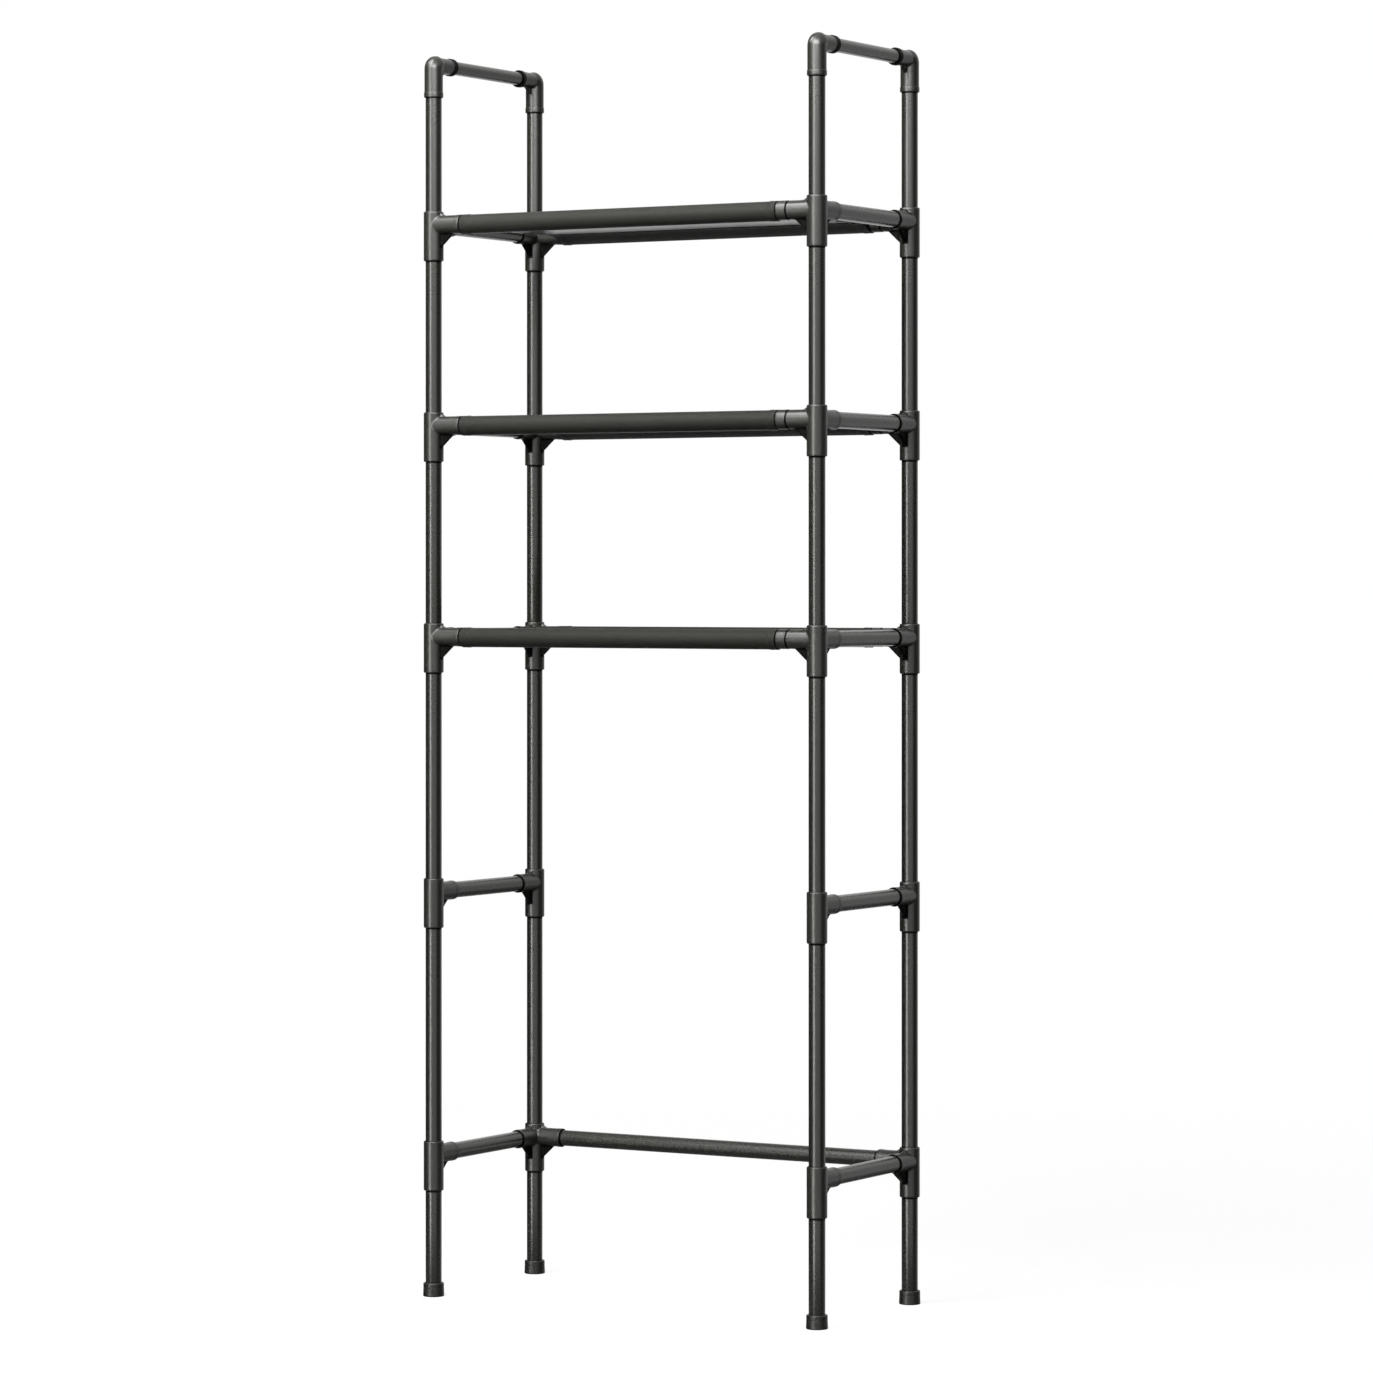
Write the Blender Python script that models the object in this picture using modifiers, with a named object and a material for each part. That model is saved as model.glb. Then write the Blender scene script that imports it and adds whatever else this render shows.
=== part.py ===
"""Over-the-toilet storage rack: push-fit steel tubes, moulded connectors and three fabric shelves.

Metres, +Z up. Seen from the front, +X is to the right and +Y to the rear. The origin is on the
floor, in the middle of the four feet.
"""

import math

import bmesh
import bpy
from mathutils import Matrix

# Post grid, axis to axis
POST_PITCH_X = 0.515
POST_PITCH_Y = 0.225

# Base rail axis above the floor, and the rise of each level's axis above the level under it
BASE_RAIL_Z = 0.167
LEG_RAIL_RISE = 0.3095
BOTTOM_SHELF_RISE = 0.3005
MIDDLE_SHELF_RISE = 0.2485
TOP_SHELF_RISE = 0.2365
TOP_BAR_RISE = 0.189

# Steel tube, the same for posts and bars, with thinner bars across the top
TUBE_D = 0.019
TOP_BAR_D = 0.016
TUBE_WALL = 0.0006

# Clearance between a tube and whatever holds it, and between pieces that meet end to end
FIT_GAP = 0.0003

# Moulded connectors: a sleeve round the post and sockets for the bars
SLEEVE_WALL = 0.00195
SLEEVE_ABOVE_AXIS = 0.016
SLEEVE_BELOW_AXIS = 0.0425
RIM_ROUND = 0.0012
SOCKET_WALL = 0.0012
SOCKET_REACH = 0.041
SOCKET_FLOOR = 0.004
COLLAR_LENGTH = 0.009
COLLAR_STEP = 0.0006

# Gusset webs that stiffen the corner under each socket
WEB_THICKNESS = 0.005
WEB_RUN = 0.0155
WEB_DROP = 0.014

# Elbows at the top of the posts
ELBOW_WALL = 0.0011
ELBOW_REACH = 0.0385
ELBOW_BEND = 0.0045
ELBOW_TAPER = 0.004
ELBOW_RIM_LENGTH = 0.006
ELBOW_RIM_STEP = 0.0005
ELBOW_WEB_RUN = 0.009
ELBOW_WEB_DROP = 0.007

# Foot caps
FOOT_WALL = 0.0024
FOOT_HEIGHT = 0.0162
FOOT_FLOOR = 0.004
FOOT_FLARE = 0.0004
FOOT_ROUND = 0.0015

# Fabric shelves: a sheet with a sewn sleeve along its front and rear edges
FABRIC_THICKNESS = 0.0011
FABRIC_SLACK = 0.0008
FABRIC_SEAM = 0.0165
FABRIC_LEFT_GAP = 0.0015
FABRIC_RIGHT_GAP = 0.0085

# Facets round a tube, and points along a rounded stretch
ROUND_SIDES = 12
ELBOW_STEPS = 3
FABRIC_ARC_STEPS = 9
MERGE = 0.00001
SMOOTH_ANGLE = math.radians(35)

# Sizes that follow from the values above
TUBE_R = TUBE_D / 2
BORE_R = TUBE_R + FIT_GAP
TOP_BAR_BORE_R = TOP_BAR_D / 2 + FIT_GAP
SLEEVE_R = BORE_R + SLEEVE_WALL
SOCKET_R = BORE_R + SOCKET_WALL
COLLAR_R = SOCKET_R + COLLAR_STEP
ELBOW_R = BORE_R + ELBOW_WALL
ELBOW_BAR_LEG_R = TOP_BAR_BORE_R + ELBOW_WALL
FOOT_R = BORE_R + FOOT_WALL
SOCKET_STOP = BORE_R + SOCKET_FLOOR
BAR_END = SOCKET_STOP + FIT_GAP
HALF_X = POST_PITCH_X / 2
HALF_Y = POST_PITCH_Y / 2
LEG_RAIL_Z = BASE_RAIL_Z + LEG_RAIL_RISE
BOTTOM_SHELF_Z = LEG_RAIL_Z + BOTTOM_SHELF_RISE
MIDDLE_SHELF_Z = BOTTOM_SHELF_Z + MIDDLE_SHELF_RISE
TOP_SHELF_Z = MIDDLE_SHELF_Z + TOP_SHELF_RISE
TOP_BAR_Z = TOP_SHELF_Z + TOP_BAR_RISE

POSTS = {
    "front_left": (-HALF_X, -HALF_Y),
    "front_right": (HALF_X, -HALF_Y),
    "rear_left": (-HALF_X, HALF_Y),
    "rear_right": (HALF_X, HALF_Y),
}

# Turn about the post that points a corner connector's two sockets inwards
CORNER_TURN = {
    "front_left": 0,
    "front_right": math.pi / 2,
    "rear_right": math.pi,
    "rear_left": 3 * math.pi / 2,
}

# Turn about the post that points a single socket at the other post of the same side
SIDE_TURN = {name: 0 if name.startswith("front") else math.pi for name in POSTS}

SHELVES = {
    "bottom_shelf": BOTTOM_SHELF_Z,
    "middle_shelf": MIDDLE_SHELF_Z,
    "top_shelf": TOP_SHELF_Z,
}

# Turns that lay a piece made along local +Z along +X or +Y, and stand an outline on edge
ALONG_X = (0, math.pi / 2, 0)
ALONG_Y = (-math.pi / 2, 0, 0)
UPRIGHT = (0, 0, 0)
OUTLINE_ALONG_X = (math.pi / 2, 0, 0)
OUTLINE_ALONG_Y = (math.pi / 2, 0, math.pi / 2)


def empty_scene():
    """Remove everything that the file holds."""
    for item in list(bpy.data.objects):
        bpy.data.objects.remove(item, do_unlink=True)


def new_collection(name):
    """Make a collection in the scene."""
    made = bpy.data.collections.new(name)
    bpy.context.scene.collection.children.link(made)
    return made


def new_material(name, colour, roughness, metallic):
    """Make a plain finish."""
    made = bpy.data.materials.new(name)
    made.use_nodes = True
    shader = made.node_tree.nodes["Principled BSDF"]
    shader.inputs["Base Color"].default_value = (*colour, 1)
    shader.inputs["Roughness"].default_value = roughness
    shader.inputs["Metallic"].default_value = metallic
    return made


def guide(name, data, turn=UPRIGHT):
    """Make a shape that is joined to a piece or cut from it, and isn't a piece itself."""
    made = bpy.data.objects.new(name, data)
    made.rotation_euler = turn
    made.hide_render = True
    made.display_type = "WIRE"
    CUTTERS.objects.link(made)
    return made


def baked(source):
    """Return the evaluated mesh of an object, welded and shaded, and remove the object."""
    bpy.context.view_layer.update()
    graph = bpy.context.evaluated_depsgraph_get()
    mesh = bpy.data.meshes.new_from_object(source.evaluated_get(graph), depsgraph=graph)
    bpy.data.objects.remove(source, do_unlink=True)
    work = bmesh.new()
    work.from_mesh(mesh)
    bmesh.ops.remove_doubles(work, verts=work.verts, dist=MERGE)
    bmesh.ops.dissolve_degenerate(work, edges=work.edges, dist=MERGE)
    work.to_mesh(mesh)
    work.free()
    mesh.shade_smooth()
    mesh.set_sharp_from_angle(angle=SMOOTH_ANGLE)
    return mesh


def turned(name, profile):
    """Turn a profile, (radius, height) from top to bottom, about local Z."""
    mesh = bpy.data.meshes.new(name)
    edges = [(i, i + 1) for i in range(len(profile) - 1)]
    half_facet = math.pi / ROUND_SIDES
    points = [(r * math.cos(half_facet), r * math.sin(half_facet), z) for r, z in profile]
    mesh.from_pydata(points, edges, [])
    made = guide(name, mesh)
    screw = made.modifiers.new("Turn", "SCREW")
    screw.angle = 2 * math.pi
    screw.steps = ROUND_SIDES
    screw.render_steps = ROUND_SIDES
    screw.use_merge_vertices = True
    screw.merge_threshold = MERGE
    return baked(made)


def flat_outline(name, loops, thickness):
    """Fill closed loops of (x, y) points, the inner ones as holes, and give them a thickness."""
    curve = bpy.data.curves.new(name, "CURVE")
    curve.dimensions = "2D"
    curve.fill_mode = "BOTH"
    curve.extrude = thickness / 2
    for loop in loops:
        spline = curve.splines.new("POLY")
        spline.points.add(len(loop) - 1)
        spline.use_cyclic_u = True
        for point, (x, y) in zip(spline.points, loop):
            point.co = (x, y, 0, 1)
    return baked(guide(name, curve))


def bore(name, radius, bottom, top):
    """Make a cutter along local Z whose flats, not its corners, lie at the radius."""
    corner = radius / math.cos(math.pi / ROUND_SIDES)
    return turned(name, [(0, top), (corner, top), (corner, bottom), (0, bottom)])


def arc(centre, run, rise, start, end, steps):
    """Return points on an ellipse from one angle to another."""
    angles = [start + (end - start) * i / steps for i in range(steps + 1)]
    return [(centre[0] + run * math.cos(a), centre[1] + rise * math.sin(a)) for a in angles]


def combine(base, operand, operation):
    """Join an operand to a base object, or cut it away."""
    step = base.modifiers.new(operand.name, "BOOLEAN")
    step.operation = operation
    step.solver = "EXACT"
    step.object = operand


def assembled(name, body, joined, cut):
    """Return one mesh: a body with shapes joined to it and shapes cut from it."""
    base = guide(name, body)
    operands = []
    for operation, shapes in (("UNION", joined), ("DIFFERENCE", cut)):
        for mesh, turn in shapes:
            operands.append(guide(mesh.name, mesh, turn))
            combine(base, operands[-1], operation)
    made = baked(base)
    for operand in operands:
        bpy.data.objects.remove(operand, do_unlink=True)
    return made


def rounded_ends(radius, top, bottom):
    """Return a turned profile of a plain rod with rounded rims."""
    return [
        (0, top),
        (radius - RIM_ROUND, top),
        (radius, top - RIM_ROUND),
        (radius, bottom + RIM_ROUND),
        (radius - RIM_ROUND, bottom),
        (0, bottom),
    ]


def socket_form():
    """Turn the outside of a bar socket: a barrel that ends in a thicker collar."""
    collar_start = SOCKET_REACH - COLLAR_LENGTH
    return turned("socket", [
        (0, SOCKET_REACH),
        (COLLAR_R, SOCKET_REACH),
        (COLLAR_R, collar_start + COLLAR_STEP),
        (SOCKET_R, collar_start),
        (SOCKET_R, 0),
        (0, 0),
    ])


def web_form(post_radius, bar_radius, run, drop):
    """Make the three-cornered plate under a socket, in the plane of the post and the bar."""
    low = -bar_radius - drop
    high = -bar_radius / 2
    tip = post_radius + run * (high - low) / drop
    return flat_outline("web", [[(0, low), (post_radius, low), (tip, high), (0, high)]], WEB_THICKNESS)


def post_connector(name, arms):
    """Make a connector that a post runs through, with a socket along each listed direction."""
    sleeve = turned("sleeve", rounded_ends(SLEEVE_R, SLEEVE_ABOVE_AXIS, -SLEEVE_BELOW_AXIS))
    socket = socket_form()
    web = web_form(SLEEVE_R, SOCKET_R, WEB_RUN, WEB_DROP)
    post_bore = bore("post_bore", BORE_R, -2 * SLEEVE_BELOW_AXIS, 2 * SLEEVE_ABOVE_AXIS)
    bar_bore = bore("bar_bore", BORE_R, SOCKET_STOP, 2 * SOCKET_REACH)
    joined = []
    cut = [(post_bore, UPRIGHT)]
    for lie, stand in arms:
        joined += [(socket, lie), (web, stand)]
        cut.append((bar_bore, lie))
    return assembled(name, sleeve, joined, cut)


def elbow_leg(radius):
    """Turn the outside of one elbow leg: from the knuckle's width to its own, with a thicker rim."""
    rim_start = ELBOW_REACH - ELBOW_RIM_LENGTH
    return turned("elbow_leg", [
        (0, ELBOW_REACH),
        (radius + ELBOW_RIM_STEP, ELBOW_REACH),
        (radius + ELBOW_RIM_STEP, rim_start + ELBOW_RIM_STEP),
        (radius, rim_start),
        (radius, ELBOW_BEND + ELBOW_TAPER),
        (ELBOW_R, ELBOW_BEND),
        (0, ELBOW_BEND),
    ])


def elbow_knuckle():
    """Spin the outer half of a leg's section round the inside of the bend."""
    half_facet = math.pi / ROUND_SIDES
    half_section = arc((0, 0), ELBOW_R, ELBOW_R, half_facet, math.pi - half_facet, ROUND_SIDES // 2 - 1)
    side_x = half_section[0][0]
    section = [(side_x, -ELBOW_BEND), *half_section, (-side_x, -ELBOW_BEND)]
    work = bmesh.new()
    work.faces.new([work.verts.new((x, -out, -ELBOW_BEND)) for x, out in section])
    bmesh.ops.spin(
        work,
        geom=[*work.verts, *work.edges, *work.faces],
        cent=(0, ELBOW_BEND, -ELBOW_BEND),
        axis=(-1, 0, 0),
        angle=math.pi / 2,
        steps=ELBOW_STEPS,
    )
    bmesh.ops.remove_doubles(work, verts=work.verts, dist=MERGE)
    bmesh.ops.recalc_face_normals(work, faces=work.faces)
    mesh = bpy.data.meshes.new("knuckle")
    work.to_mesh(mesh)
    work.free()
    return baked(guide("knuckle", mesh))


def elbow():
    """Make the elbow over a post: one leg down, one leg to the rear, a rounded knuckle between them."""
    post_leg = elbow_leg(ELBOW_R)
    bar_leg = elbow_leg(ELBOW_BAR_LEG_R)
    downwards = (math.pi, 0, 0)
    web = web_form(ELBOW_R, ELBOW_BAR_LEG_R, ELBOW_WEB_RUN, ELBOW_WEB_DROP)
    post_bore = bore("post_bore", BORE_R, SOCKET_STOP, 2 * ELBOW_REACH)
    bar_bore = bore("bar_bore", TOP_BAR_BORE_R, SOCKET_STOP, 2 * ELBOW_REACH)
    return assembled(
        "elbow",
        elbow_knuckle(),
        [(post_leg, downwards), (bar_leg, ALONG_Y), (web, OUTLINE_ALONG_Y)],
        [(post_bore, downwards), (bar_bore, ALONG_Y)],
    )


def foot_cap():
    """Make a foot cap: a slightly flared cup that the post stands in."""
    cup = turned("cup", [
        (0, FOOT_HEIGHT),
        (FOOT_R - FOOT_ROUND, FOOT_HEIGHT),
        (FOOT_R, FOOT_HEIGHT - FOOT_ROUND),
        (FOOT_R + FOOT_FLARE, RIM_ROUND),
        (FOOT_R + FOOT_FLARE - RIM_ROUND, 0),
        (0, 0),
    ])
    hollow = bore("foot_bore", BORE_R, FOOT_FLOOR, 2 * FOOT_HEIGHT)
    return assembled("foot_cap", cup, [], [(hollow, UPRIGHT)])


def fabric_sleeve(radius, seam, half_seam):
    """Return the points round a sleeve that rests on its bar, from above its seam to below it."""
    centre_z = FIT_GAP - FABRIC_SLACK
    lean = math.acos(radius / seam)
    around = arc((0, centre_z), radius, radius, lean, 2 * math.pi - lean, FABRIC_ARC_STEPS)
    return [(seam, centre_z + half_seam), *around, (seam, centre_z - half_seam)]


def fabric_shelf():
    """Make a fabric shelf: one sheet with a sleeve round the front bar and one round the rear bar."""
    inner = TUBE_R + FABRIC_SLACK
    outer = inner + FABRIC_THICKNESS
    seam = outer + FABRIC_SEAM
    outside = fabric_sleeve(outer, seam, FABRIC_THICKNESS / 2)
    hole = fabric_sleeve(inner, seam - 2 * FABRIC_THICKNESS, 0)[:-1]
    front, front_hole = ([(y - HALF_Y, z) for y, z in loop] for loop in (outside, hole))
    rear, rear_hole = ([(HALF_Y - y, z) for y, z in loop] for loop in (outside, hole))
    width = POST_PITCH_X - 2 * SOCKET_REACH - FABRIC_LEFT_GAP - FABRIC_RIGHT_GAP
    return flat_outline("fabric_shelf", [front + rear[::-1], front_hole, rear_hole], width)


def tube_mesh(length, radius=TUBE_R):
    """Make a thin-walled tube along local Z, centred on the origin."""
    mesh = bpy.data.meshes.new("tube")
    work = bmesh.new()
    bmesh.ops.create_cone(
        work, cap_ends=False, segments=ROUND_SIDES, radius1=radius, radius2=radius, depth=length
    )
    bmesh.ops.rotate(work, verts=work.verts, matrix=Matrix.Rotation(math.pi / ROUND_SIDES, 3, "Z"))
    work.to_mesh(mesh)
    work.free()
    made = guide("tube", mesh)
    shell = made.modifiers.new("Wall", "SOLIDIFY")
    shell.thickness = TUBE_WALL
    shell.offset = -1
    shell.use_even_offset = True
    return baked(made)


def place(name, mesh, finish, location, turn=UPRIGHT):
    """Put a piece in the rack with its finish."""
    made = bpy.data.objects.new(name, mesh)
    made.location = location
    made.rotation_euler = turn
    mesh.materials.clear()
    mesh.materials.append(finish)
    RACK.objects.link(made)
    return made


def add_posts(finish):
    """Stand the posts: a lower and an upper tube that meet inside the bottom shelf's connectors."""
    joint = BOTTOM_SHELF_Z - (SLEEVE_BELOW_AXIS - SLEEVE_ABOVE_AXIS) / 2
    spans = {
        "lower": (FOOT_FLOOR + FIT_GAP, joint - FIT_GAP / 2),
        "upper": (joint + FIT_GAP / 2, TOP_BAR_Z - BAR_END),
    }
    for part, (bottom, top) in spans.items():
        mesh = tube_mesh(top - bottom)
        for corner, (x, y) in POSTS.items():
            place(f"post_{corner}_{part}", mesh, finish, (x, y, (bottom + top) / 2))


def add_bars(finish):
    """Add every horizontal bar: long ones between left and right, short ones between front and rear."""
    long_bar = tube_mesh(POST_PITCH_X - 2 * BAR_END)
    short_bar = tube_mesh(POST_PITCH_Y - 2 * BAR_END)
    top_bar = tube_mesh(POST_PITCH_Y - 2 * BAR_END, TOP_BAR_D / 2)
    side_levels = {**SHELVES, "leg_rail": LEG_RAIL_Z, "base_rail": BASE_RAIL_Z}
    for side, x in (("left", -HALF_X), ("right", HALF_X)):
        place(f"top_side_bar_{side}", top_bar, finish, (x, 0, TOP_BAR_Z), ALONG_Y)
        for level, z in side_levels.items():
            place(f"{level}_side_bar_{side}", short_bar, finish, (x, 0, z), ALONG_Y)
    for shelf, z in SHELVES.items():
        place(f"{shelf}_front_bar", long_bar, finish, (0, -HALF_Y, z), ALONG_X)
        place(f"{shelf}_rear_bar", long_bar, finish, (0, HALF_Y, z), ALONG_X)
    place("base_rail_rear_bar", long_bar, finish, (0, HALF_Y, BASE_RAIL_Z), ALONG_X)


def add_connectors(finish):
    """Add the connectors: corners at the shelves and the rear base rail, tees and elbows elsewhere."""
    arm_x = (ALONG_X, OUTLINE_ALONG_X)
    arm_y = (ALONG_Y, OUTLINE_ALONG_Y)
    corner_mesh = post_connector("corner_connector", [arm_x, arm_y])
    tee_mesh = post_connector("tee_connector", [arm_y])
    elbow_mesh = elbow()
    for corner, (x, y) in POSTS.items():
        inwards = (0, 0, CORNER_TURN[corner])
        sideways = (0, 0, SIDE_TURN[corner])
        for shelf, z in SHELVES.items():
            place(f"{shelf}_corner_{corner}", corner_mesh, finish, (x, y, z), inwards)
        place(f"leg_rail_tee_{corner}", tee_mesh, finish, (x, y, LEG_RAIL_Z), sideways)
        place(f"top_elbow_{corner}", elbow_mesh, finish, (x, y, TOP_BAR_Z), sideways)
        if corner.startswith("rear"):
            place(f"base_rail_corner_{corner}", corner_mesh, finish, (x, y, BASE_RAIL_Z), inwards)
        else:
            place(f"base_rail_tee_{corner}", tee_mesh, finish, (x, y, BASE_RAIL_Z), sideways)


def add_feet(finish):
    """Put a cap under each post."""
    mesh = foot_cap()
    for corner, (x, y) in POSTS.items():
        place(f"foot_cap_{corner}", mesh, finish, (x, y, 0))


def add_fabric(finish):
    """Hang a fabric shelf on the front and rear bars of each shelf level."""
    mesh = fabric_shelf()
    middle_x = (FABRIC_LEFT_GAP - FABRIC_RIGHT_GAP) / 2
    for shelf, z in SHELVES.items():
        place(f"{shelf}_fabric", mesh, finish, (middle_x, 0, z), OUTLINE_ALONG_Y)


empty_scene()
RACK = new_collection("over_toilet_rack")
CUTTERS = new_collection("cutters")
add_posts(new_material("post_tube", (0.075, 0.075, 0.066), 0.38, 0.35))
add_bars(new_material("bar_tube", (0.075, 0.075, 0.066), 0.38, 0.35))
add_connectors(new_material("connector_plastic", (0.062, 0.062, 0.055), 0.45, 0.0))
add_feet(new_material("foot_plastic", (0.045, 0.045, 0.041), 0.55, 0.0))
add_fabric(new_material("shelf_fabric", (0.05, 0.05, 0.047), 0.9, 0.0))
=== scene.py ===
"""Over-the-toilet shelf: coated tubes, moulded push-fit connectors and three sewn fabric shelves."""
import logging
import math
from dataclasses import dataclass
from enum import Enum
from typing import Any, Callable, Sequence, Union

import bmesh
import bpy
from mathutils import Matrix, Vector


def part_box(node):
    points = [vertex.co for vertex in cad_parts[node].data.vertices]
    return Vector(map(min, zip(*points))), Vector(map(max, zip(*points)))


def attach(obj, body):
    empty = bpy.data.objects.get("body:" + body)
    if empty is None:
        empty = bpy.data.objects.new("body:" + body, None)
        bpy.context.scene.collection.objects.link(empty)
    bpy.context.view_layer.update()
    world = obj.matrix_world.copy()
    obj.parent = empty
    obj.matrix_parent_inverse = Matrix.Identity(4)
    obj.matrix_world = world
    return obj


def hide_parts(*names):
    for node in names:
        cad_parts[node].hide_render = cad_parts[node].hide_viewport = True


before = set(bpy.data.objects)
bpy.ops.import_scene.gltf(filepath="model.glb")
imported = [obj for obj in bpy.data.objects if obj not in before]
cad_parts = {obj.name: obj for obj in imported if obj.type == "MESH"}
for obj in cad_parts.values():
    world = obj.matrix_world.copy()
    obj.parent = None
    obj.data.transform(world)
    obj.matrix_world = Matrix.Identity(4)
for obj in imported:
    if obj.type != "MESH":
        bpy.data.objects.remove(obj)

LOG = logging.getLogger("over_toilet_shelf")
BODY = "root"
# The frame's side in pixels, and the joint-shade mark from which a face gets the near-black painted shadow
# finish.
PHOTO_SIDE = 1373
RECESS_MARK = 0.82
# In metres: what counts as no distance, and a distance past the end of any moulding.
TINY = 1e-6
PAST_END = 0.1
# In degrees: the angle from which an edge stays sharp.
TUBE_CREASE = 40.0
MOULDING_CREASE = 32.0
CLOTH_CREASE = 50.0

Piece = bpy.types.Object
Material = bpy.types.Material
Tree = bpy.types.NodeTree
Link = bpy.types.NodeSocket
Setting = Union[Link, float, tuple, str, bool]


class Corner(Enum):
    """The four posts, each with the turn of a three-way connector about it, in degrees."""

    FRONT_LEFT = 0
    FRONT_RIGHT = 90
    REAR_RIGHT = 180
    REAR_LEFT = 270

    @property
    def label(self) -> str:
        """The corner's name in the names of the pieces."""
        return self.name.lower()

    @property
    def is_rear(self) -> bool:
        """Whether the post stands at the rear."""
        return self.label.startswith("rear")

    @property
    def sideways(self) -> int:
        """The turn, in degrees, of a connector whose one arm points along the rack's side."""
        return 180 if self.is_rear else 0


class Shelf(Enum):
    """The three levels that carry a fabric shelf."""

    BOTTOM = "bottom_shelf"
    MIDDLE = "middle_shelf"
    TOP = "top_shelf"


class Axis(Enum):
    """The local axis that a turned form lies along, with the turn that lays it there."""

    X = (0.0, math.pi / 2, 0.0)
    Y = (-math.pi / 2, 0.0, 0.0)
    Z = (0.0, 0.0, 0.0)

    @property
    def index(self) -> int:
        """The axis's place in a vector."""
        return "XYZ".index(self.name)

    def along(self, distance: float) -> tuple:
        """The point that far out along the axis."""
        return tuple(distance if place == self.index else 0.0 for place in range(3))


class Mark(Enum):
    """What a piece's points can carry for its finish to read."""

    # How near a point is to a rim, which is lightened for wear and for a painted highlight.
    RIM = "rim"
    # How near a point is to a joint or a gusset's hollow, where painted shade darkens the finish.
    JOINT = "joint"


class Bench:
    """The hand moves of edit mode that the pieces share."""

    @staticmethod
    def only(piece: Piece) -> None:
        """Select one piece alone and make it active."""
        bpy.ops.object.select_all(action="DESELECT")
        piece.select_set(True)
        bpy.context.view_layer.objects.active = piece

    @staticmethod
    def pick(piece: Piece, kind: str, test: Callable[[Any], bool]) -> None:
        """Enter edit mode and select the parts of a piece that pass a test.

        Args:
            piece: the piece to work on.
            kind: VERT, EDGE or FACE.
            test: says of a bmesh vertex, edge or face whether it is wanted.
        """
        if bpy.context.mode != "OBJECT":
            bpy.ops.object.mode_set(mode="OBJECT")
        Bench.only(piece)
        bpy.ops.object.mode_set(mode="EDIT")
        bpy.ops.mesh.select_mode(type=kind)
        bpy.ops.mesh.select_all(action="DESELECT")
        work = bmesh.from_edit_mesh(piece.data)
        for part in {"VERT": work.verts, "EDGE": work.edges, "FACE": work.faces}[kind]:
            if test(part):
                part.select_set(True)
        work.select_flush_mode()
        bmesh.update_edit_mesh(piece.data)

    @staticmethod
    def leave(piece: Piece) -> None:
        """Merge doubles, turn the faces outwards and go back to object mode."""
        Bench.pick(piece, "VERT", lambda vert: True)
        bpy.ops.mesh.remove_doubles(threshold=TINY)
        bpy.ops.mesh.normals_make_consistent(inside=False)
        bpy.ops.object.mode_set(mode="OBJECT")

    @staticmethod
    def settle(piece: Piece) -> None:
        """Bake a piece's place, turn and scale into its mesh."""
        Bench.only(piece)
        bpy.ops.object.transform_apply(location=True, rotation=True, scale=True)

    @staticmethod
    def start(primitive: Callable, **settings: Any) -> Piece:
        """Add a primitive alone, with its place and turn in its mesh.

        Args:
            primitive: Blender's operator that adds it.
            settings: the operator's values by name.

        Returns:
            The new form.
        """
        bpy.ops.object.select_all(action="DESELECT")
        primitive(**settings)
        form = bpy.context.object
        Bench.settle(form)
        return form

    @staticmethod
    def discard(*forms: Piece) -> None:
        """Remove forms that are of no more use."""
        for form in forms:
            bpy.data.objects.remove(form, do_unlink=True)

    @staticmethod
    def plane_cut(piece: Piece, place: Sequence, normal: Sequence, **settings: Any) -> None:
        """Cut a piece along the plane with that point and normal, with the cut's other values by name."""
        Bench.pick(piece, "FACE", lambda face: True)
        bpy.ops.mesh.bisect(plane_co=place, plane_no=normal, **settings)

    @staticmethod
    def smooth(piece: Piece, degrees: float) -> None:
        """Leave edit mode and shade a piece smooth, apart from its sharp edges.

        Args:
            piece: the piece to shade.
            degrees: the angle from which an edge is sharp.
        """
        Bench.leave(piece)
        Bench.only(piece)
        bpy.ops.object.shade_smooth_by_angle(angle=math.radians(degrees))

    @staticmethod
    def modify(piece: Piece, kind: str, **settings: Any) -> None:
        """Add a modifier and apply it.

        Args:
            piece: the piece to modify.
            kind: Blender's name for the modifier.
            settings: the modifier's values by name.
        """
        Bench.only(piece)
        modifier = piece.modifiers.new(kind.title(), kind)
        for name, value in settings.items():
            setattr(modifier, name, value)
        bpy.ops.object.modifier_apply(modifier=modifier.name)

    @staticmethod
    def combine(base: Piece, operation: str, forms: Sequence) -> None:
        """Join forms to a piece or cut them away, one by one, and remove them.

        Args:
            base: the piece that stays.
            operation: UNION or DIFFERENCE.
            forms: the forms that are joined or cut away.
        """
        for form in forms:
            Bench.modify(base, "BOOLEAN", operation=operation, object=form, solver="EXACT")
            Bench.discard(form)

    @staticmethod
    def join(base: Piece, *forms: Piece) -> None:
        """Join forms to a piece."""
        Bench.combine(base, "UNION", forms)

    @staticmethod
    def cut(base: Piece, *forms: Piece) -> None:
        """Cut forms away from a piece."""
        Bench.combine(base, "DIFFERENCE", forms)

    @staticmethod
    def rod(radius: float, start: float, end: float, axis: Axis, rim: float = 0.0, rings: int = 0,
            sides: int = 64, end_radius: float | None = None) -> Piece:
        """Turn a round form along an axis through the origin.

        Args:
            radius: its radius.
            start: where it starts on the axis.
            end: where it ends on the axis.
            axis: the axis that it lies along.
            rim: how far its two rims are rounded.
            rings: how many loops are added along its length.
            sides: how many sides it has.
            end_radius: its radius at the end, if it tapers.

        Returns:
            The round form, with its place in its mesh.
        """
        form = Bench.start(
            bpy.ops.mesh.primitive_cone_add, vertices=sides, radius1=radius, radius2=end_radius or radius,
            depth=end - start, location=axis.along((start + end) / 2), rotation=axis.value)
        k = axis.index

        def runs_along(edge: bmesh.types.BMEdge) -> bool:
            """Whether an edge runs along the axis."""
            return abs(edge.verts[0].co[k] - edge.verts[1].co[k]) > TINY

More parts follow.
